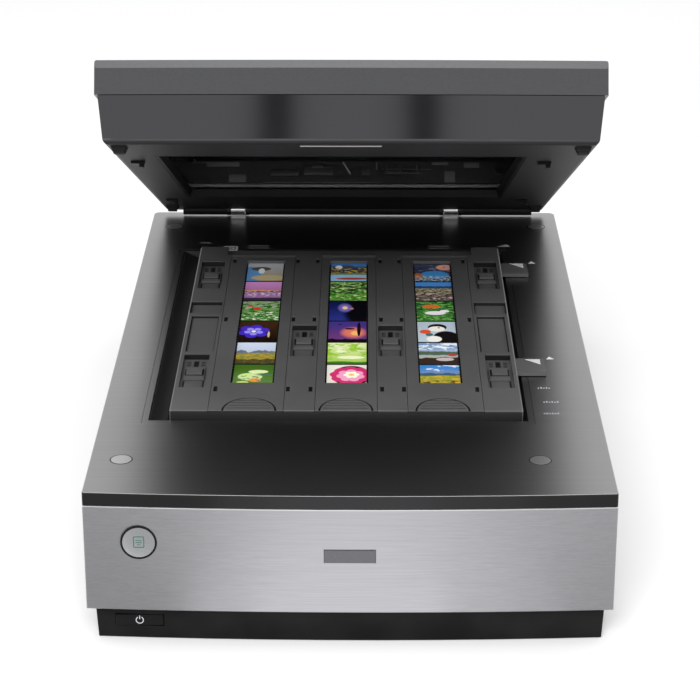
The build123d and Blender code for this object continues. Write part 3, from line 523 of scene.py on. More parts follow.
class Shape:
    """Solids gathered into one mesh. Sizes are in the millimetres of the given place."""

    def __init__(self, place=BODY):
        self.mesh = bmesh.new()
        self.place = place

    def _add(self, part, place=None):
        bmesh.ops.recalc_face_normals(part, faces=part.faces)
        bmesh.ops.transform(part, matrix=self.place if place is None else place, verts=part.verts)
        data = bpy.data.meshes.new("part")
        part.to_mesh(data)
        part.free()
        self.mesh.from_mesh(data)
        bpy.data.meshes.remove(data)

    def prism(self, outline, low, high, bevel=0.0):
        """A flat outline drawn from low to high, with bevelled edges."""
        part = bmesh.new()
        bottom, top = [[part.verts.new((x, y, z)) for x, y in outline] for z in (low, high)]
        part.faces.new(bottom)
        part.faces.new(top)
        for first in range(len(outline)):
            after = (first + 1) % len(outline)
            part.faces.new((bottom[first], bottom[after], top[after], top[first]))
        if bevel:
            bmesh.ops.bevel(
                part, geom=list(part.edges), offset=bevel, segments=2, profile=0.6, affect="EDGES"
            )
        self._add(part)
        return self

    def box(self, x, y, z, bevel=0.0):
        outline = [(x[0], y[0]), (x[1], y[0]), (x[1], y[1]), (x[0], y[1])]
        return self.prism(outline, z[0], z[1], bevel)

    def frame(self, x, y, width, low, high):
        """A flat rectangular border."""
        part = bmesh.new()
        rings = []
        for inset in (0.0, width):
            corners = ((x[0] + inset, y[0] + inset), (x[1] - inset, y[0] + inset))
            corners += ((x[1] - inset, y[1] - inset), (x[0] + inset, y[1] - inset))
            rings.append([[part.verts.new((cx, cy, z)) for cx, cy in corners] for z in (low, high)])
        outer, inner = rings
        loop = (outer[0], outer[1], inner[1], inner[0])
        for first in range(4):
            after = (first + 1) % 4
            for one, two in zip(loop, loop[1:] + loop[:1]):
                part.faces.new((one[first], one[after], two[after], two[first]))
        self._add(part)
        return self

    def arc(self, inner, outer, start, end, low, high):
        """A flat curved band between two angles in degrees."""
        steps = 28
        outline = []
        for radius, first, last in ((outer, start, end), (inner, end, start)):
            for index in range(steps + 1):
                angle = math.radians(first + (last - first) * index / steps)
                outline.append((radius * math.cos(angle), radius * math.sin(angle)))
        return self.prism(outline, low, high)

    def lathe(self, profile, place=None, steps=48):
        """A closed profile of (radius, height) points turned about the place's z axis."""
        part = bmesh.new()
        rings = []
        for radius, height in profile:
            if radius < 1e-6:
                rings.append([part.verts.new((0, 0, height))])
                continue
            ring = []
            for step in range(steps):
                angle = 2 * math.pi * step / steps
                point = (radius * math.cos(angle), radius * math.sin(angle), height)
                ring.append(part.verts.new(point))
            rings.append(ring)
        for first, second in zip(rings, rings[1:] + rings[:1]):
            if len(first) == 1 and len(second) == 1:
                continue
            for step in range(steps):
                after = (step + 1) % steps
                corners = [first[step % len(first)], first[after % len(first)]]
                corners += [second[after % len(second)], second[step % len(second)]]
                unique = list(dict.fromkeys(corners))
                if len(unique) > 2:
                    part.faces.new(unique)
        self._add(part, place)
        return self

    def rod(self, start, end, radius, steps=16):
        """A round rod with chamfered ends between two points."""
        start, end = Vector(start), Vector(end)
        run = end - start
        turn = run.to_track_quat("Z", "Y").to_matrix().to_4x4()
        here = self.place @ Matrix.Translation(start) @ turn
        cut = radius * 0.25
        length = run.length
        profile = [(0, 0), (radius - cut, 0), (radius, cut), (radius, length - cut)]
        profile += [(radius - cut, length), (0, length)]
        return self.lathe(profile, here, steps)

    def plate(self, xs, ys, low, high, filled, paint):
        """A plate on a grid: cell (i, j) is there where filled says so, with paint's material."""
        part = bmesh.new()
        points = {}

        def point(i, j, z):
            if (i, j, z) not in points:
                points[i, j, z] = part.verts.new((xs[i], ys[j], z))
            return points[i, j, z]

        def is_filled(i, j):
            return 0 <= i < len(xs) - 1 and 0 <= j < len(ys) - 1 and filled(i, j)

        for i in range(len(xs) - 1):
            for j in range(len(ys) - 1):
                if not is_filled(i, j):
                    continue
                around = ((i, j), (i + 1, j), (i + 1, j + 1), (i, j + 1))
                for z in (low, high):
                    corners = [point(*place, z) for place in around]
                    part.faces.new(corners).material_index = paint(i, j)
                sides = (
                    ((i - 1, j), (i, j), (i, j + 1)),
                    ((i + 1, j), (i + 1, j), (i + 1, j + 1)),
                    ((i, j - 1), (i, j), (i + 1, j)),
                    ((i, j + 1), (i, j + 1), (i + 1, j + 1)),
                )
                for beside, one, two in sides:
                    if not is_filled(*beside):
                        wall = ((*one, low), (*two, low), (*two, high), (*one, high))
                        part.faces.new([point(*place) for place in wall])
        self._add(part)
        return self

    def piece(self, name, body, slot, material=None, smooth=True, replaces=(), more=()):
        data = bpy.data.meshes.new(name)
        self.mesh.to_mesh(data)
        self.mesh.free()
        for each in (material or MATERIALS[slot], *more):
            data.materials.append(each)
        obj = bpy.data.objects.new(name, data)
        bpy.context.scene.collection.objects.link(obj)
        if smooth:
            for polygon in data.polygons:
                polygon.use_smooth = True
            data.set_sharp_from_angle(angle=math.radians(35))
        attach(obj, body)
        if replaces:
            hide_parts(*replaces)
        return obj


# ---- pictures on the film ----
FRAMES = 6
FRAME_PITCH = 38.6
FRAME_EDGE = 1.0
PICTURE_WIDTH = 25.4
FILM_THICK = 0.2
HOLE_PITCH = 4.825
HOLE_HALF = 0.99
HOLE_OUTER, HOLE_INNER = 2.0, 4.8  # from the strip's edge
# painted light: how strongly the pictures glow, as if lit from behind
PAINTED_GLOW = 0.25


class Picture(Surface):
    """A made-up picture on one frame of film: u runs across it and v up it, both 0 to 1. It glows faintly, painted
    light standing in for light through the film.
    """

    def __init__(self, name, middle, low_y, seed, sky_low, sky_high):
        super().__init__(name, sky_low, 0.16)
        self.seed = seed
        left = (middle - PICTURE_WIDTH / 2) * MM
        self.u = (self.axis("X") - left) / (PICTURE_WIDTH * MM)
        self.v = (self.axis("Y") - frame_y(low_y)) / ((FRAME_PITCH - 2 * FRAME_EDGE) * MM)
        self.color = self.blend(self.v.step(0.0, 1.0), sky_low, sky_high)

    def _offset(self):
        self.seed += 1.37
        return (self.seed, self.seed * 2.1, 0.0)

    def over(self, mask, color):
        self.color = self.blend(mask, self.color, tint(*color))

    def hills(self, height, rise, ridges, color):
        """Everything below a wavy line."""
        line = self.noise((ridges / (PICTURE_WIDTH * MM), 0.0, 0.0), 4.0, self._offset())
        self.over((self.v - (line - 0.5) * (rise * 4)).step(height + 0.02, height - 0.02), color)

    def blob(self, u, v, width, height, color, soft=0.12):
        """An ellipse, with a soft edge."""
        across = (self.u - u) / (width / 2)
        along = (self.v - v) / (height / 2)
        self.over((across * across + along * along).step(1 + soft, 1 - soft), color)

    def flecks(self, low, high, size, share, color):
        """Scattered patches between two heights. Share is the part that they cover."""
        scale = (0.6 / (size * MM), 0.9 / (size * MM), 0.0)
        patches = self.noise(scale, 5.0, self._offset(), 0.6)
        edge = 0.5 + (0.5 - share) * 0.3
        zone = self.v.step(low - 0.04, low + 0.04) * self.v.step(high + 0.04, high - 0.04)
        self.over(patches.step(edge - 0.04, edge + 0.04) * zone, color)

    def petals(self, u, v, size, count, color, phase=0.0):
        """A ring of petals round a point."""
        for index in range(count):
            angle = phase + 2 * math.pi * index / count
            du, dv = math.cos(angle) * size * 0.55, math.sin(angle) * size * 0.42
            self.blob(u + du, v + dv, size * 0.62, size * 0.46, color)

    def finish(self):
        self.drive(base_color=self.color)
        # painted light: the picture's colours also glow
        self.tree.links.new(self.color, self.shader.inputs["Emission Color"])
        return self.set(emission_strength=PAINTED_GLOW).material


# Each picture is its sky, low then high, and then its layers from back to front, with colours
# from 0 to 255. Each list runs from the front of the strip to the rear.
PICTURES = {
    "left": [
        ((96, 128, 40), (60, 100, 30), [
            ("blob", 0.42, 0.45, 0.62, 0.34, (196, 220, 140)),
            ("blob", 0.62, 0.68, 0.5, 0.16, (216, 228, 170)),
            ("blob", 0.55, 0.3, 0.3, 0.16, (225, 140, 60)),
            ("flecks", 0.25, 0.6, 3.0, 0.3, (70, 110, 120)),
            ("blob", 0.25, 0.2, 0.3, 0.1, (190, 205, 120)),
        ]),
        ((150, 165, 190), (205, 215, 235), [
            ("hills", 0.62, 0.12, 3.0, (96, 110, 130)),
            ("hills", 0.5, 0.05, 5.0, (120, 130, 60)),
            ("flecks", 0.2, 0.5, 2.0, 0.45, (190, 150, 50)),
            ("hills", 0.2, 0.05, 6.0, (70, 66, 40)),
            ("flecks", 0.0, 0.25, 1.6, 0.3, (110, 90, 40)),
        ]),
        ((26, 16, 12), (60, 36, 18), [
            ("petals", 0.38, 0.5, 0.5, 6, (66, 44, 190), 0.3),
            ("petals", 0.38, 0.5, 0.3, 5, (150, 140, 240), 0.9),
            ("blob", 0.38, 0.5, 0.12, 0.1, (235, 235, 250)),
            ("blob", 0.78, 0.35, 0.06, 0.3, (210, 190, 140)),
        ]),
        ((70, 130, 50), (120, 160, 90), [
            ("flecks", 0.0, 1.0, 3.2, 0.4, (40, 96, 30)),
            ("flecks", 0.0, 0.45, 2.2, 0.3, (220, 230, 200)),
            ("flecks", 0.55, 1.0, 3.0, 0.3, (190, 170, 190)),
            ("blob", 0.4, 0.6, 0.22, 0.14, (210, 50, 30)),
            ("blob", 0.2, 0.75, 0.16, 0.1, (190, 60, 40)),
        ]),
        ((96, 60, 110), (206, 140, 200), [
            ("hills", 0.52, 0.02, 9.0, (90, 60, 60)),
            ("flecks", 0.45, 0.56, 1.4, 0.5, (240, 170, 90)),
            ("hills", 0.44, 0.0, 1.0, (150, 110, 160)),
            ("flecks", 0.2, 0.42, 1.8, 0.35, (225, 200, 215)),
            ("hills", 0.14, 0.02, 3.0, (60, 40, 70)),
        ]),
        ((150, 140, 110), (160, 165, 170), [
            ("blob", 0.1, 0.35, 0.6, 0.9, (90, 140, 190)),
            ("blob", 0.62, 0.18, 1.0, 0.3, (180, 165, 125)),
            ("blob", 0.38, 0.68, 0.56, 0.22, (84, 74, 60)),
            ("blob", 0.4, 0.56, 0.18, 0.3, (205, 215, 225)),
        ]),
    ],
    "centre": [
        ((225, 218, 205), (236, 230, 220), [
            ("blob", 0.62, 0.5, 0.96, 0.92, (60, 24, 18)),
            ("petals", 0.6, 0.52, 0.62, 9, (205, 50, 110), 0.2),
            ("petals", 0.6, 0.52, 0.42, 7, (238, 160, 190), 0.6),
            ("petals", 0.62, 0.55, 0.24, 6, (246, 240, 225), 0.1),
            ("blob", 0.62, 0.55, 0.12, 0.1, (240, 205, 60)),
        ]),
        ((170, 205, 90), (225, 238, 170), [
            ("flecks", 0.2, 1.0, 5.0, 0.4, (150, 200, 50)),
            ("flecks", 0.5, 1.0, 4.0, 0.25, (240, 246, 210)),
            ("blob", 0.6, 0.3, 0.7, 0.16, (236, 244, 196)),
            ("hills", 0.1, 0.03, 2.0, (60, 120, 30)),
        ]),
        ((110, 60, 120), (66, 50, 130), [
            ("blob", 0.66, 0.45, 0.62, 0.5, (225, 120, 100), 0.7),
            ("blob", 0.72, 0.42, 0.26, 0.22, (250, 190, 110), 0.6),
            ("blob", 0.8, 0.62, 0.1, 0.7, (24, 14, 30)),
            ("blob", 0.56, 0.64, 0.26, 0.08, (30, 18, 40)),
            ("hills", 0.12, 0.05, 6.0, (20, 12, 26)),
            ("blob", 0.3, 0.86, 0.1, 0.04, (30, 18, 40)),
        ]),
        ((40, 50, 130), (20, 24, 80), [
            ("blob", 0.85, 0.5, 0.9, 1.6, (8, 8, 16), 0.5),
            ("blob", 0.42, 0.66, 0.34, 0.4, (120, 110, 190), 0.8),
            ("blob", 0.42, 0.66, 0.14, 0.16, (255, 205, 150), 0.7),
            ("blob", 0.6, 0.62, 0.1, 0.08, (210, 140, 110), 0.7),
        ]),
        ((90, 160, 50), (120, 170, 80), [
            ("flecks", 0.0, 1.0, 3.4, 0.45, (40, 110, 24)),
            ("flecks", 0.35, 0.9, 3.4, 0.45, (36, 40, 44)),
            ("flecks", 0.0, 1.0, 2.4, 0.25, (215, 235, 160)),
        ]),
        ((70, 100, 150), (50, 110, 180), [
            ("hills", 0.84, 0.14, 2.0, (50, 66, 80)),
            ("blob", 0.22, 0.78, 0.2, 0.2, (215, 225, 235)),
            ("hills", 0.46, 0.05, 4.0, (90, 120, 40)),
            ("flecks", 0.4, 0.75, 2.4, 0.35, (205, 160, 40)),
            ("hills", 0.36, 0.0, 1.0, (150, 190, 225)),
            ("blob", 0.6, 0.14, 0.9, 0.12, (170, 70, 50)),
        ]),
    ],
    "right": [
        ((190, 150, 60), (50, 130, 205), [
            ("hills", 0.62, 0.06, 3.0, (60, 90, 110)),
            ("hills", 0.52, 0.04, 4.0, (150, 150, 50)),
            ("flecks", 0.1, 0.5, 3.0, 0.4, (205, 165, 60)),
            ("flecks", 0.0, 0.3, 3.0, 0.35, (90, 70, 30)),
            ("flecks", 0.7, 1.0, 5.0, 0.2, (225, 236, 246)),
        ]),
        ((200, 210, 225), (120, 150, 190), [
            ("flecks", 0.65, 1.0, 4.0, 0.45, (236, 240, 246)),
            ("hills", 0.6, 0.1, 3.0, (80, 100, 80)),
            ("hills", 0.42, 0.03, 3.0, (170, 175, 170)),
            ("hills", 0.3, 0.06, 3.0, (56, 42, 34)),
            ("blob", 0.66, 0.22, 0.46, 0.16, (190, 180, 180)),
            ("blob", 0.86, 0.42, 0.24, 0.1, (190, 60, 50)),
        ]),
        ((190, 205, 215), (176, 190, 204), [
            ("blob", 0.74, 0.2, 0.7, 0.66, (22, 18, 20)),
            ("blob", 0.52, 0.72, 0.5, 0.34, (24, 20, 22)),
            ("blob", 0.5, 0.64, 0.44, 0.26, (238, 232, 222)),
            ("blob", 0.42, 0.14, 0.4, 0.3, (242, 238, 230)),
            ("blob", 0.2, 0.5, 0.3, 0.2, (225, 80, 40)),
            ("blob", 0.3, 0.36, 0.2, 0.16, (70, 110, 110)),
            ("blob", 0.56, 0.7, 0.06, 0.05, (20, 16, 16)),
        ]),
        ((60, 120, 50), (40, 100, 50), [
            ("flecks", 0.0, 1.0, 3.0, 0.4, (110, 170, 80)),
            ("flecks", 0.0, 1.0, 2.6, 0.25, (20, 56, 30)),
            ("blob", 0.4, 0.74, 0.5, 0.2, (215, 110, 40)),
            ("blob", 0.5, 0.4, 0.56, 0.2, (236, 230, 236)),
            ("blob", 0.75, 0.5, 0.26, 0.12, (240, 236, 240)),
        ]),
        ((120, 110, 100), (70, 140, 215), [
            ("hills", 0.78, 0.04, 4.0, (40, 70, 110)),
            ("hills", 0.66, 0.05, 6.0, (96, 90, 80)),
            ("flecks", 0.3, 0.66, 1.8, 0.45, (180, 170, 130)),
            ("flecks", 0.0, 0.5, 3.0, 0.45, (70, 60, 60)),
            ("flecks", 0.0, 0.4, 2.2, 0.3, (205, 180, 170)),
        ]),
        ((60, 60, 80), (40, 46, 70), [
            ("blob", 0.86, 0.78, 0.5, 0.3, (216, 150, 120)),
            ("flecks", 0.55, 0.95, 5.0, 0.3, (96, 104, 140)),
            ("blob", 0.56, 0.36, 0.8, 0.44, (60, 130, 190)),
            ("blob", 0.1, 0.3, 0.24, 0.3, (170, 90, 50)),
            ("flecks", 0.0, 0.3, 1.4, 0.45, (170, 180, 180)),
        ]),
    ],
}


def picture_materials(side, first_y):
    """The six pictures of one strip, from the front to the rear."""
    made = []
    for index, (sky_low, sky_high, layers) in enumerate(PICTURES[side]):
        low_y = first_y + index * FRAME_PITCH + FRAME_EDGE
        seed = SIDES.index(side) * 20.0 + index * 3.0
        name = f"picture_{side}_{index + 1}"
        sky = tint(*sky_low), tint(*sky_high)
        picture = Picture(name, STRIP_MIDDLES[side], low_y, seed, *sky)
        for kind, *values in layers:
            getattr(picture, kind)(*values)
        made.append(picture.finish())
    return made


def make_film_strips():
    """Three strips of 35 mm film, with six pictures and two rows of perforations each."""
    low_y, high_y = STRIP_LOW[1], STRIP_HIGH[1]
    rows = {low_y, high_y}
    for index in range(FRAMES):
        start = low_y + index * FRAME_PITCH
        rows |= {start + FRAME_EDGE, start + FRAME_PITCH - FRAME_EDGE}
    holes = round((high_y - low_y) / HOLE_PITCH)
    centres = [low_y + (index + 0.5) * HOLE_PITCH for index in range(holes)]
    for centre in centres:
        rows |= set(span(centre, HOLE_HALF))
    ys = sorted(rows)
    half = STRIP_HALF
    lines = (-half, -half + HOLE_OUTER, -half + HOLE_INNER)
    lines += (half - HOLE_INNER, half - HOLE_OUTER, half)
    for side, middle in STRIP_MIDDLES.items():
        xs = [middle + x for x in lines]

        def filled(i, j):
            row = (ys[j] + ys[j + 1]) / 2
            in_hole = any(abs(row - centre) < HOLE_HALF for centre in centres)
            return not (i in (1, 3) and in_hole)

        def paint(i, j):
            place = ((ys[j] + ys[j + 1]) / 2 - low_y) / FRAME_PITCH
            inside = abs(place % 1.0 - 0.5) < 0.5 - FRAME_EDGE / FRAME_PITCH
            return 1 + int(place) if i == 2 and inside else 0

        strip = Shape().plate(xs, ys, STRIP_LOW[2], STRIP_LOW[2] + FILM_THICK, filled, paint)
        pictures = picture_materials(side, low_y)
        name = f"film_strip_{side}"
        strip.piece(name, "film_holder", "film", None, False, ("film_strips",), pictures)


# ---- film holder ----
RECESS_LENGTH = 56.0
RECESS_FLOOR = 99.0
# black plates standing in for the shade in each recess: its slot, its rear wall, and the grooves at its front and
# sides
RECESS_SHADE_PLATES = (  # middle and half width, then from, to and rise, all along one recess
    (0.0, 1.6, 37.5, 51.0, 0.14),
    (0.0, 8.1, 54.3, 55.9, 2.9),
    (0.0, 7.9, 0.2, 1.1, 0.14),
    (-6.3, 0.45, 1.1, 18.5, 0.14),
    (6.3, 0.45, 1.1, 18.5, 0.14),
)
TRAYS = (  # left and right, front and rear, floor
    ((-109.0, -90.5), (205.0, 270.0), 101.0),
    ((84.0, 103.0), (205.0, 270.0), 101.0),
    ((-111.0, -89.6), (275.0, 297.0), 100.2),
    ((83.2, 105.0), (275.0, 297.0), 100.2),
)
TRAY_TOP = 102.0
GRIP_HALF = 17.0
GRIP_REACH = 20.5
GRIP_DEPTH = (-0.8, -0.22)
GRIP_STEPS = 48
GRIP_TRIM = 0.015  # the part of the half circle that is left out at each end
GRIP_RIBS = 4
GRIP_PITCH = 4.1
LATCHES = {"left": (-22.5, 23.1), "centre": (-22.5, 22.5), "right": (-23.5, 22.5)}
LATCH_Y = (143.0, 264.0, 380.0)
LATCH_FLOOR = 100.9
TAB_TOP = TOP + 3.0
LABEL_X, LABEL_Y = -90.8, 418.8


def make_adjuster_details():
    """Guides and printed scales in the six adjuster recesses, black plates as painted shade in their slots,
    grooves and rear walls, and seats on the sliders.
    """
    engraved = laid_on(RECESS_FLOOR, 0.14)
    for joint in JOINTS:
        if not (joint.startswith("adjuster_") and joint.endswith("_slide")):
            continue
        node = joint.removesuffix("_slide")
        corners = body_span(node)
        x, y = middle_of(*corners, 0), middle_of(*corners, 1)
        start = y - RECESS_LENGTH / 2
        guide = Shape()
        guide.box(span(x, 5.6), (start + 1.6, start + 17.5), laid_on(RECESS_FLOOR, 0.24), 0.08)
        guide.piece(f"{node}_guide", "film_holder", "holder_plastic")
        # painted shade in the recesses, together with the printed tick marks
        black = Shape()
        for across, half, first, last, rise in RECESS_SHADE_PLATES:
            heights = laid_on(RECESS_FLOOR, rise)
            black.box(span(x + across, half), (start + first, start + last), heights)
        for side in (-1, 1):
            for index in range(5):
                black.box(span(x + side * 4.6, 1.3), span(start + 39 + index * 2.6, 0.45), engraved)
        black.piece(f"{node}_slots", "film_holder", "holder_plastic", DEEP_BLACK, False)
        seat = Shape().box(span(x, 6.1), span(y, 5.4), (RECESS_FLOOR + 1.8, RECESS_FLOOR + 2.06))
        seat.piece(f"{node}_seat", node, "holder_plastic", DEEP_BLACK, False)


def make_tray_details():
    """Black strips in the corners of the shallow trays between the adjusters: painted shade."""
    # painted shade: black strips on the rear and left walls and along the right edge of each tray
    lines = Shape()
    for (left, right), (front, rear), floor in TRAYS:
        wall = (floor - 0.1, TRAY_TOP)
        lines.box((left + 0.1, right - 0.1), (rear - 1.2, rear - 0.1), wall)
        lines.box((left + 0.1, left + 0.7), (front + 0.1, rear - 0.1), wall)
        lines.box((right - 0.6, right - 0.1), (front + 0.1, rear - 0.1), laid_on(floor, 0.1))
    lines.piece("tray_painted_shade", "film_holder", "holder_plastic", DEEP_BLACK, False)


def grip_outline():
    """The groove round a finger grip: out along its outer edge and back along its inner one."""
    steps = range(GRIP_STEPS + 1)
    outline = []
    for inset, order in ((0.1, steps), (1.2, reversed(steps))):
        for step in order:
            angle = math.pi * (GRIP_TRIM + (1 - 2 * GRIP_TRIM) * step / GRIP_STEPS)
            across = (GRIP_HALF - inset) * math.cos(angle)
            outline.append((across, (GRIP_REACH - inset) * math.sin(angle)))
    return outline


def make_cover_details():
    """Black plates standing in for the shade in the grooves of the finger grips and in the latch slots."""
    for side, middle in STRIP_MIDDLES.items():
        node = f"film_cover_{side}"
        low, high = body_span(node)
        top = high[2]
        # painted shade: black plates in the grip's outline groove and its rib grooves
        grip = Shape(body_place(middle, low[1], top))
        grip.prism(grip_outline(), *GRIP_DEPTH)
        for rib in range(GRIP_RIBS):
            rise = GRIP_PITCH * (rib + 1)
            half = (GRIP_HALF - 3) * math.sqrt(1 - (rise / GRIP_REACH) ** 2)
            grip.box(span(0, half - 0.05), span(rise, 0.5), GRIP_DEPTH)
        grip.piece(f"{node}_grip_groove_shade", node, "holder_plastic", DEEP_BLACK, False)
        for number, reach in enumerate(LATCHES[side]):
            on_cover = low[0] < middle + reach < high[0]
            # painted shade: black floors in the latch slots
            slots = Shape()
            for y in LATCH_Y:
                slots.box(span(middle + reach, 1.12), span(y, 4.4), (LATCH_FLOOR, top - 0.5))
            body = node if on_cover else "film_holder"
            name = f"{node}_latch_{number + 1}"
            slots.piece(name, body, "holder_plastic", DEEP_BLACK, False)


def make_arrows():
    """White arrowheads on the holder's tabs and beside the bed."""
    marks = Shape()
    for right, rear, front in ((122.3, 379.3, 370.0), (122.0, 196.2, 187.6)):
        outline = [(right - 9.7, rear), (right, rear), (right, front)]
        marks.prism(outline, *laid_on(TAB_TOP, 0.1))
    marks.piece("tab_arrows", "film_holder", "holder_plastic", WHITE_PRINT, False)
    marks = Shape()
    for x, y in ((129.6, 390.0), (129.4, 206.0)):
        outline = [(x - 2.6, y - 2.2), (x + 2.6, y - 2.0), (x - 0.4, y + 2.3)]
        marks.prism(outline, *laid_on(TOP, 0.08))
    marks.piece("bed_arrows", "body", "case_dark", WHITE_PRINT, False)


def make_case_marks():
    """Plain ticks and outlines printed round the bed, and a small blank label behind it."""
    printed = laid_on(TOP, 0.06)
    ticks = Shape()
    rows = ((118.5, 154.5, 5), (120.5, 132.0, 6), (119.5, 114.0, 6), (-113.5, 431.0, 5))
    for x, y, count in rows:
        for index in range(count):
            long = 2.6 if index % 2 else 1.6
            ticks.box(span(x + index * 1.7, 0.42), (y, y + long), printed)
    ticks.prism([(106.5, 424.5), (116.0, 424.5), (113.5, 430.0)], *printed)
    ticks.piece("bed_ticks", "body", "case_dark", GREY_PRINT, False)
    outlines = Shape()
    for x in (-70.0, 63.0):
        for y in (420.5, 425.5):
            outlines.box(span(x, 7.5), span(y, 0.35), printed)
    outlines.piece("bed_lines", "body", "case_dark", GREY_PRINT, False)
    label = Shape()
    label.box(span(LABEL_X, 5.2), span(LABEL_Y, 5.0), (TOP - 0.3, TOP + 0.25), 0.12)
    label.piece("bed_label", "body", "black_plastic", WHITE_PRINT)
    glyph = Shape()
    glyph.frame(span(LABEL_X, 3.6), span(LABEL_Y, 2.8), 0.7, TOP + 0.2, TOP + 0.32)
    glyph.box(span(LABEL_X, 1.4), span(LABEL_Y, 0.6), (TOP + 0.2, TOP + 0.32))
    glyph.piece("bed_label_mark", "body", "black_plastic", DEEP_BLACK, False)


# ---- front panel ----
def make_front_details():
    """The marks of the two buttons."""
    low, high = body_span("scan_button")
    x, z = middle_of(low, high, 0), middle_of(low, high, 2)
    dish = 0.8  # how far the button's face is sunk at its middle
    page = Shape(body_place(x, low[1] + dish, z) @ FACE)
    page.frame((-3.2, 3.2), (-3.6, 3.6), 0.5, -0.3, 0.24)
    for row in (-1.8, -0.4, 1.0):
        page.box((-1.8, 1.8), span(row, 0.24), (-0.3, 0.1))
    page.piece("scan_button_mark", "scan_button", "button_metal", GREEN_PRINT, False)

    low, high = body_span("power_button")
    x, z = middle_of(low, high, 0), middle_of(low, high, 2)
    power = Shape(body_place(x, low[1], z) @ FACE)
    power.arc(1.85, 2.4, 120, 420, -0.2, 0.1)
    power.box(span(0, 0.28), (0.6, 2.9), (-0.2, 0.1))
    power.piece("power_button_mark", "power_button", "black_plastic", GREY_PRINT, False)


# ---- lid ----
BUMPER_STEPS = ((4.6, 5.6, -1.2, 0.6), (4.0, 5.0, -2.7, -1.1), (3.3, 4.2, -4.2, -2.6))
HOOKS = ((-133.5, -338.0), (120.0, -338.0), (-133.0, -84.0), (123.0, -84.0))
LAMP_FRONT_Y = -100.0
LAMP_PARTS = (  # left and right, low and high, thickness, bevel
    ((-60, -40), (15.5, 19.5), 2.4, 0.4),
    ((-36, -15), (16.2, 22.5), 2.2, 0.4),
    ((-30, -22), (21, 24.5), 2.8, 0.4),
    ((6, 12), (16, 22), 2.4, 0.4),
    ((20, 56), (20.2, 21.4), 2.0, 0.2),
    ((24, 50), (17.2, 18.6), 2.0, 0.2),
    (span(24, 1.3), (17, 23.5), 2.6, 0.3),
    (span(34, 1.3), (17, 23.5), 2.6, 0.3),
    (span(47, 1.3), (17, 23.5), 2.6, 0.3),
)
LAMP_PLATES = (
    ((-106.5, -83), (22.0, 25.6), 0.9, 0.2),
    ((57, 68.5), (23.6, 25.6), 1.0, 0.2),
    ((80, 91), (21.5, 25.4), 1.0, 0.2),
    ((-90.5, -78), (11.0, 16.4), 0.8, 0.2),
    ((66, 73.6), (11.0, 19.0), 0.8, 0.2),
    ((-65, 20), (10.4, 11.0), 0.5, 0.1),
)
ROLLER = ((0, 0), (4.6, 0), (4.6, 2.2), (4.0, 2.5), (3.4, 2.2), (3.2, 1.0))  # radius, height
ROLLER += ((1.6, 1.0), (1.2, 2.2), (0, 2.2))
POST_HALF = 5.25


def make_lid_underside():
    """Stepped rubber bumpers, mat hooks, and a steel lip under the front edge."""
    bumpers = Shape(LID)
    for x in (-137.0, 137.0):
        for y in (-416.0, -30.0):
            for half_x, half_y, low, high in BUMPER_STEPS:
                bumpers.box(span(x, half_x), span(y, half_y), (low, high), 0.3)
    bumpers.piece("bumper_blocks", "lid", "rubber", None, True, ("lid_bumpers",))
    hooks = Shape(LID)
    for x, y in HOOKS:
        hooks.box(span(x, 4.2), span(y, 3.0), (-1.9, 0.0), 0.4)
        hooks.box(span(x + 2.4, 1.4), span(y, 2.4), (-4.0, -1.6), 0.4)
    hooks.piece("mat_hooks", "lid", "black_plastic")
    lip = Shape(LID).box((-30, 18), (-424.6, -422.8), (-0.8, 0.2), 0.25)
    lip.piece("lid_lip", "lid", "lid_dark", MATERIALS["steel"])


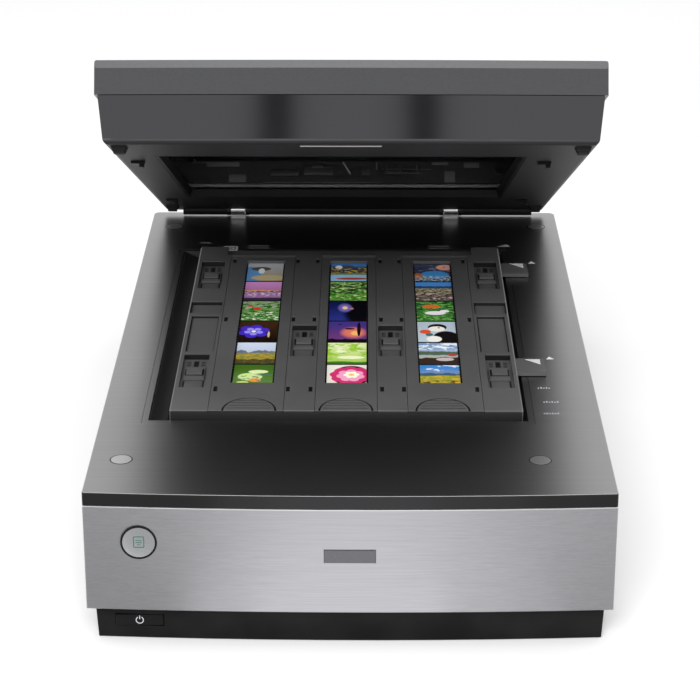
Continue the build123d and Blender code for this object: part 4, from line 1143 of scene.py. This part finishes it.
def make_window_details():
    """What shows through the lid's smoked window: the parked lamp unit's front, and a light grey bar behind the
    window's rear edge.
    """
    front = lid_place(0, LAMP_FRONT_Y, 0) @ FACE
    sets = (
        ("lamp_front_parts", LAMP_PARTS, CAP_PAINT),
        ("lamp_front_plates", LAMP_PLATES, DULL_GREY),
    )
    for name, boxes, material in sets:
        shape = Shape(front)
        for x, y, thick, bevel in boxes:
            shape.box(x, y, (0, thick), bevel)
        shape.piece(name, "lamp_carriage", "inner_black", material)
    rods = Shape(front)
    rods.rod((-7.6, 25.6, 1.6), (-2.0, 16.8, 1.6), 0.7)
    rods.rod((16.8, 19.8, 1.6), (16.8, 25.6, 1.6), 0.55)
    for index in range(6):
        rods.box(span(-116 + index * 2.2, 0.35), (24.4, 25.5), (0, 0.5))
    rods.piece("lamp_front_rods", "lamp_carriage", "inner_black", MATERIALS["steel"], False)
    roller = Shape().lathe(ROLLER, front @ Matrix.Translation((106.0, 21.0, 0)))
    roller.piece("lamp_front_roller", "lamp_carriage", "inner_black", DARK_STEEL)
    # a light grey bar behind the window's rear edge, standing in for a bright band seen there
    seat = Shape(LID).box((-119, 106), (-103.4, -100.6), (7.05, 8.9), 0.2)
    seat.piece("window_rear_bar", "lid", "inner_black", GREY_PRINT)


def make_hinge_washers():
    """Black washers that fill the gaps between the hinge brackets and the lid."""
    low, high = body_span("hinge_posts")
    washers = Shape(LID)
    for middle in (low[0] + POST_HALF, high[0] - POST_HALF):
        for side in (-1, 1):
            ends = [(middle + side * reach, 0, 0) for reach in (8.37, 8.63)]
            washers.rod(*ends, 4.1, steps=32)
    washers.piece("hinge_washers", "lid", "black_plastic", DEEP_BLACK)


# ---- case ----
CAP_SPOTS = ((-135.5, 45.5), (112.2, 46.0), (-136.0, 469.0), (138.0, 470.0))
CAP_RING = ((5.85, -0.3), (6.85, -0.3), (6.85, 0.03), (6.6, 0.06), (5.85, 0.06))


def make_cap_rings():
    """Black rings round the screw caps, painted shade in the gaps beside them."""
    rings = Shape()
    # painted shade: a black ring in each cap's gap
    for x, y in CAP_SPOTS:
        rings.lathe(CAP_RING, body_place(x, y, TOP))
    rings.piece("cap_rings", "body", "case_dark", DEEP_BLACK)


def make_back_slots():
    """Black plates on the back wall, standing in for cooling slots and the shade inside them."""
    back = body_span("upper_case")[1][1]
    slots = Shape()
    # painted shade: black plates where the slots' dark insides would show
    for index in range(14):
        slots.box(span(60 + index * 4.2, 0.8), (back - 0.4, back + 0.02), (62, 84))
    slots.piece("back_slots", "body", "case_dark", DEEP_BLACK, False)


# ---- main ----
make_camera()
make_stage()
paint_nodes()
make_film_strips()
make_adjuster_details()
make_tray_details()
make_cover_details()
make_arrows()
make_case_marks()
make_front_details()
make_lid_underside()
make_window_details()
make_hinge_washers()
make_cap_rings()
make_back_slots()
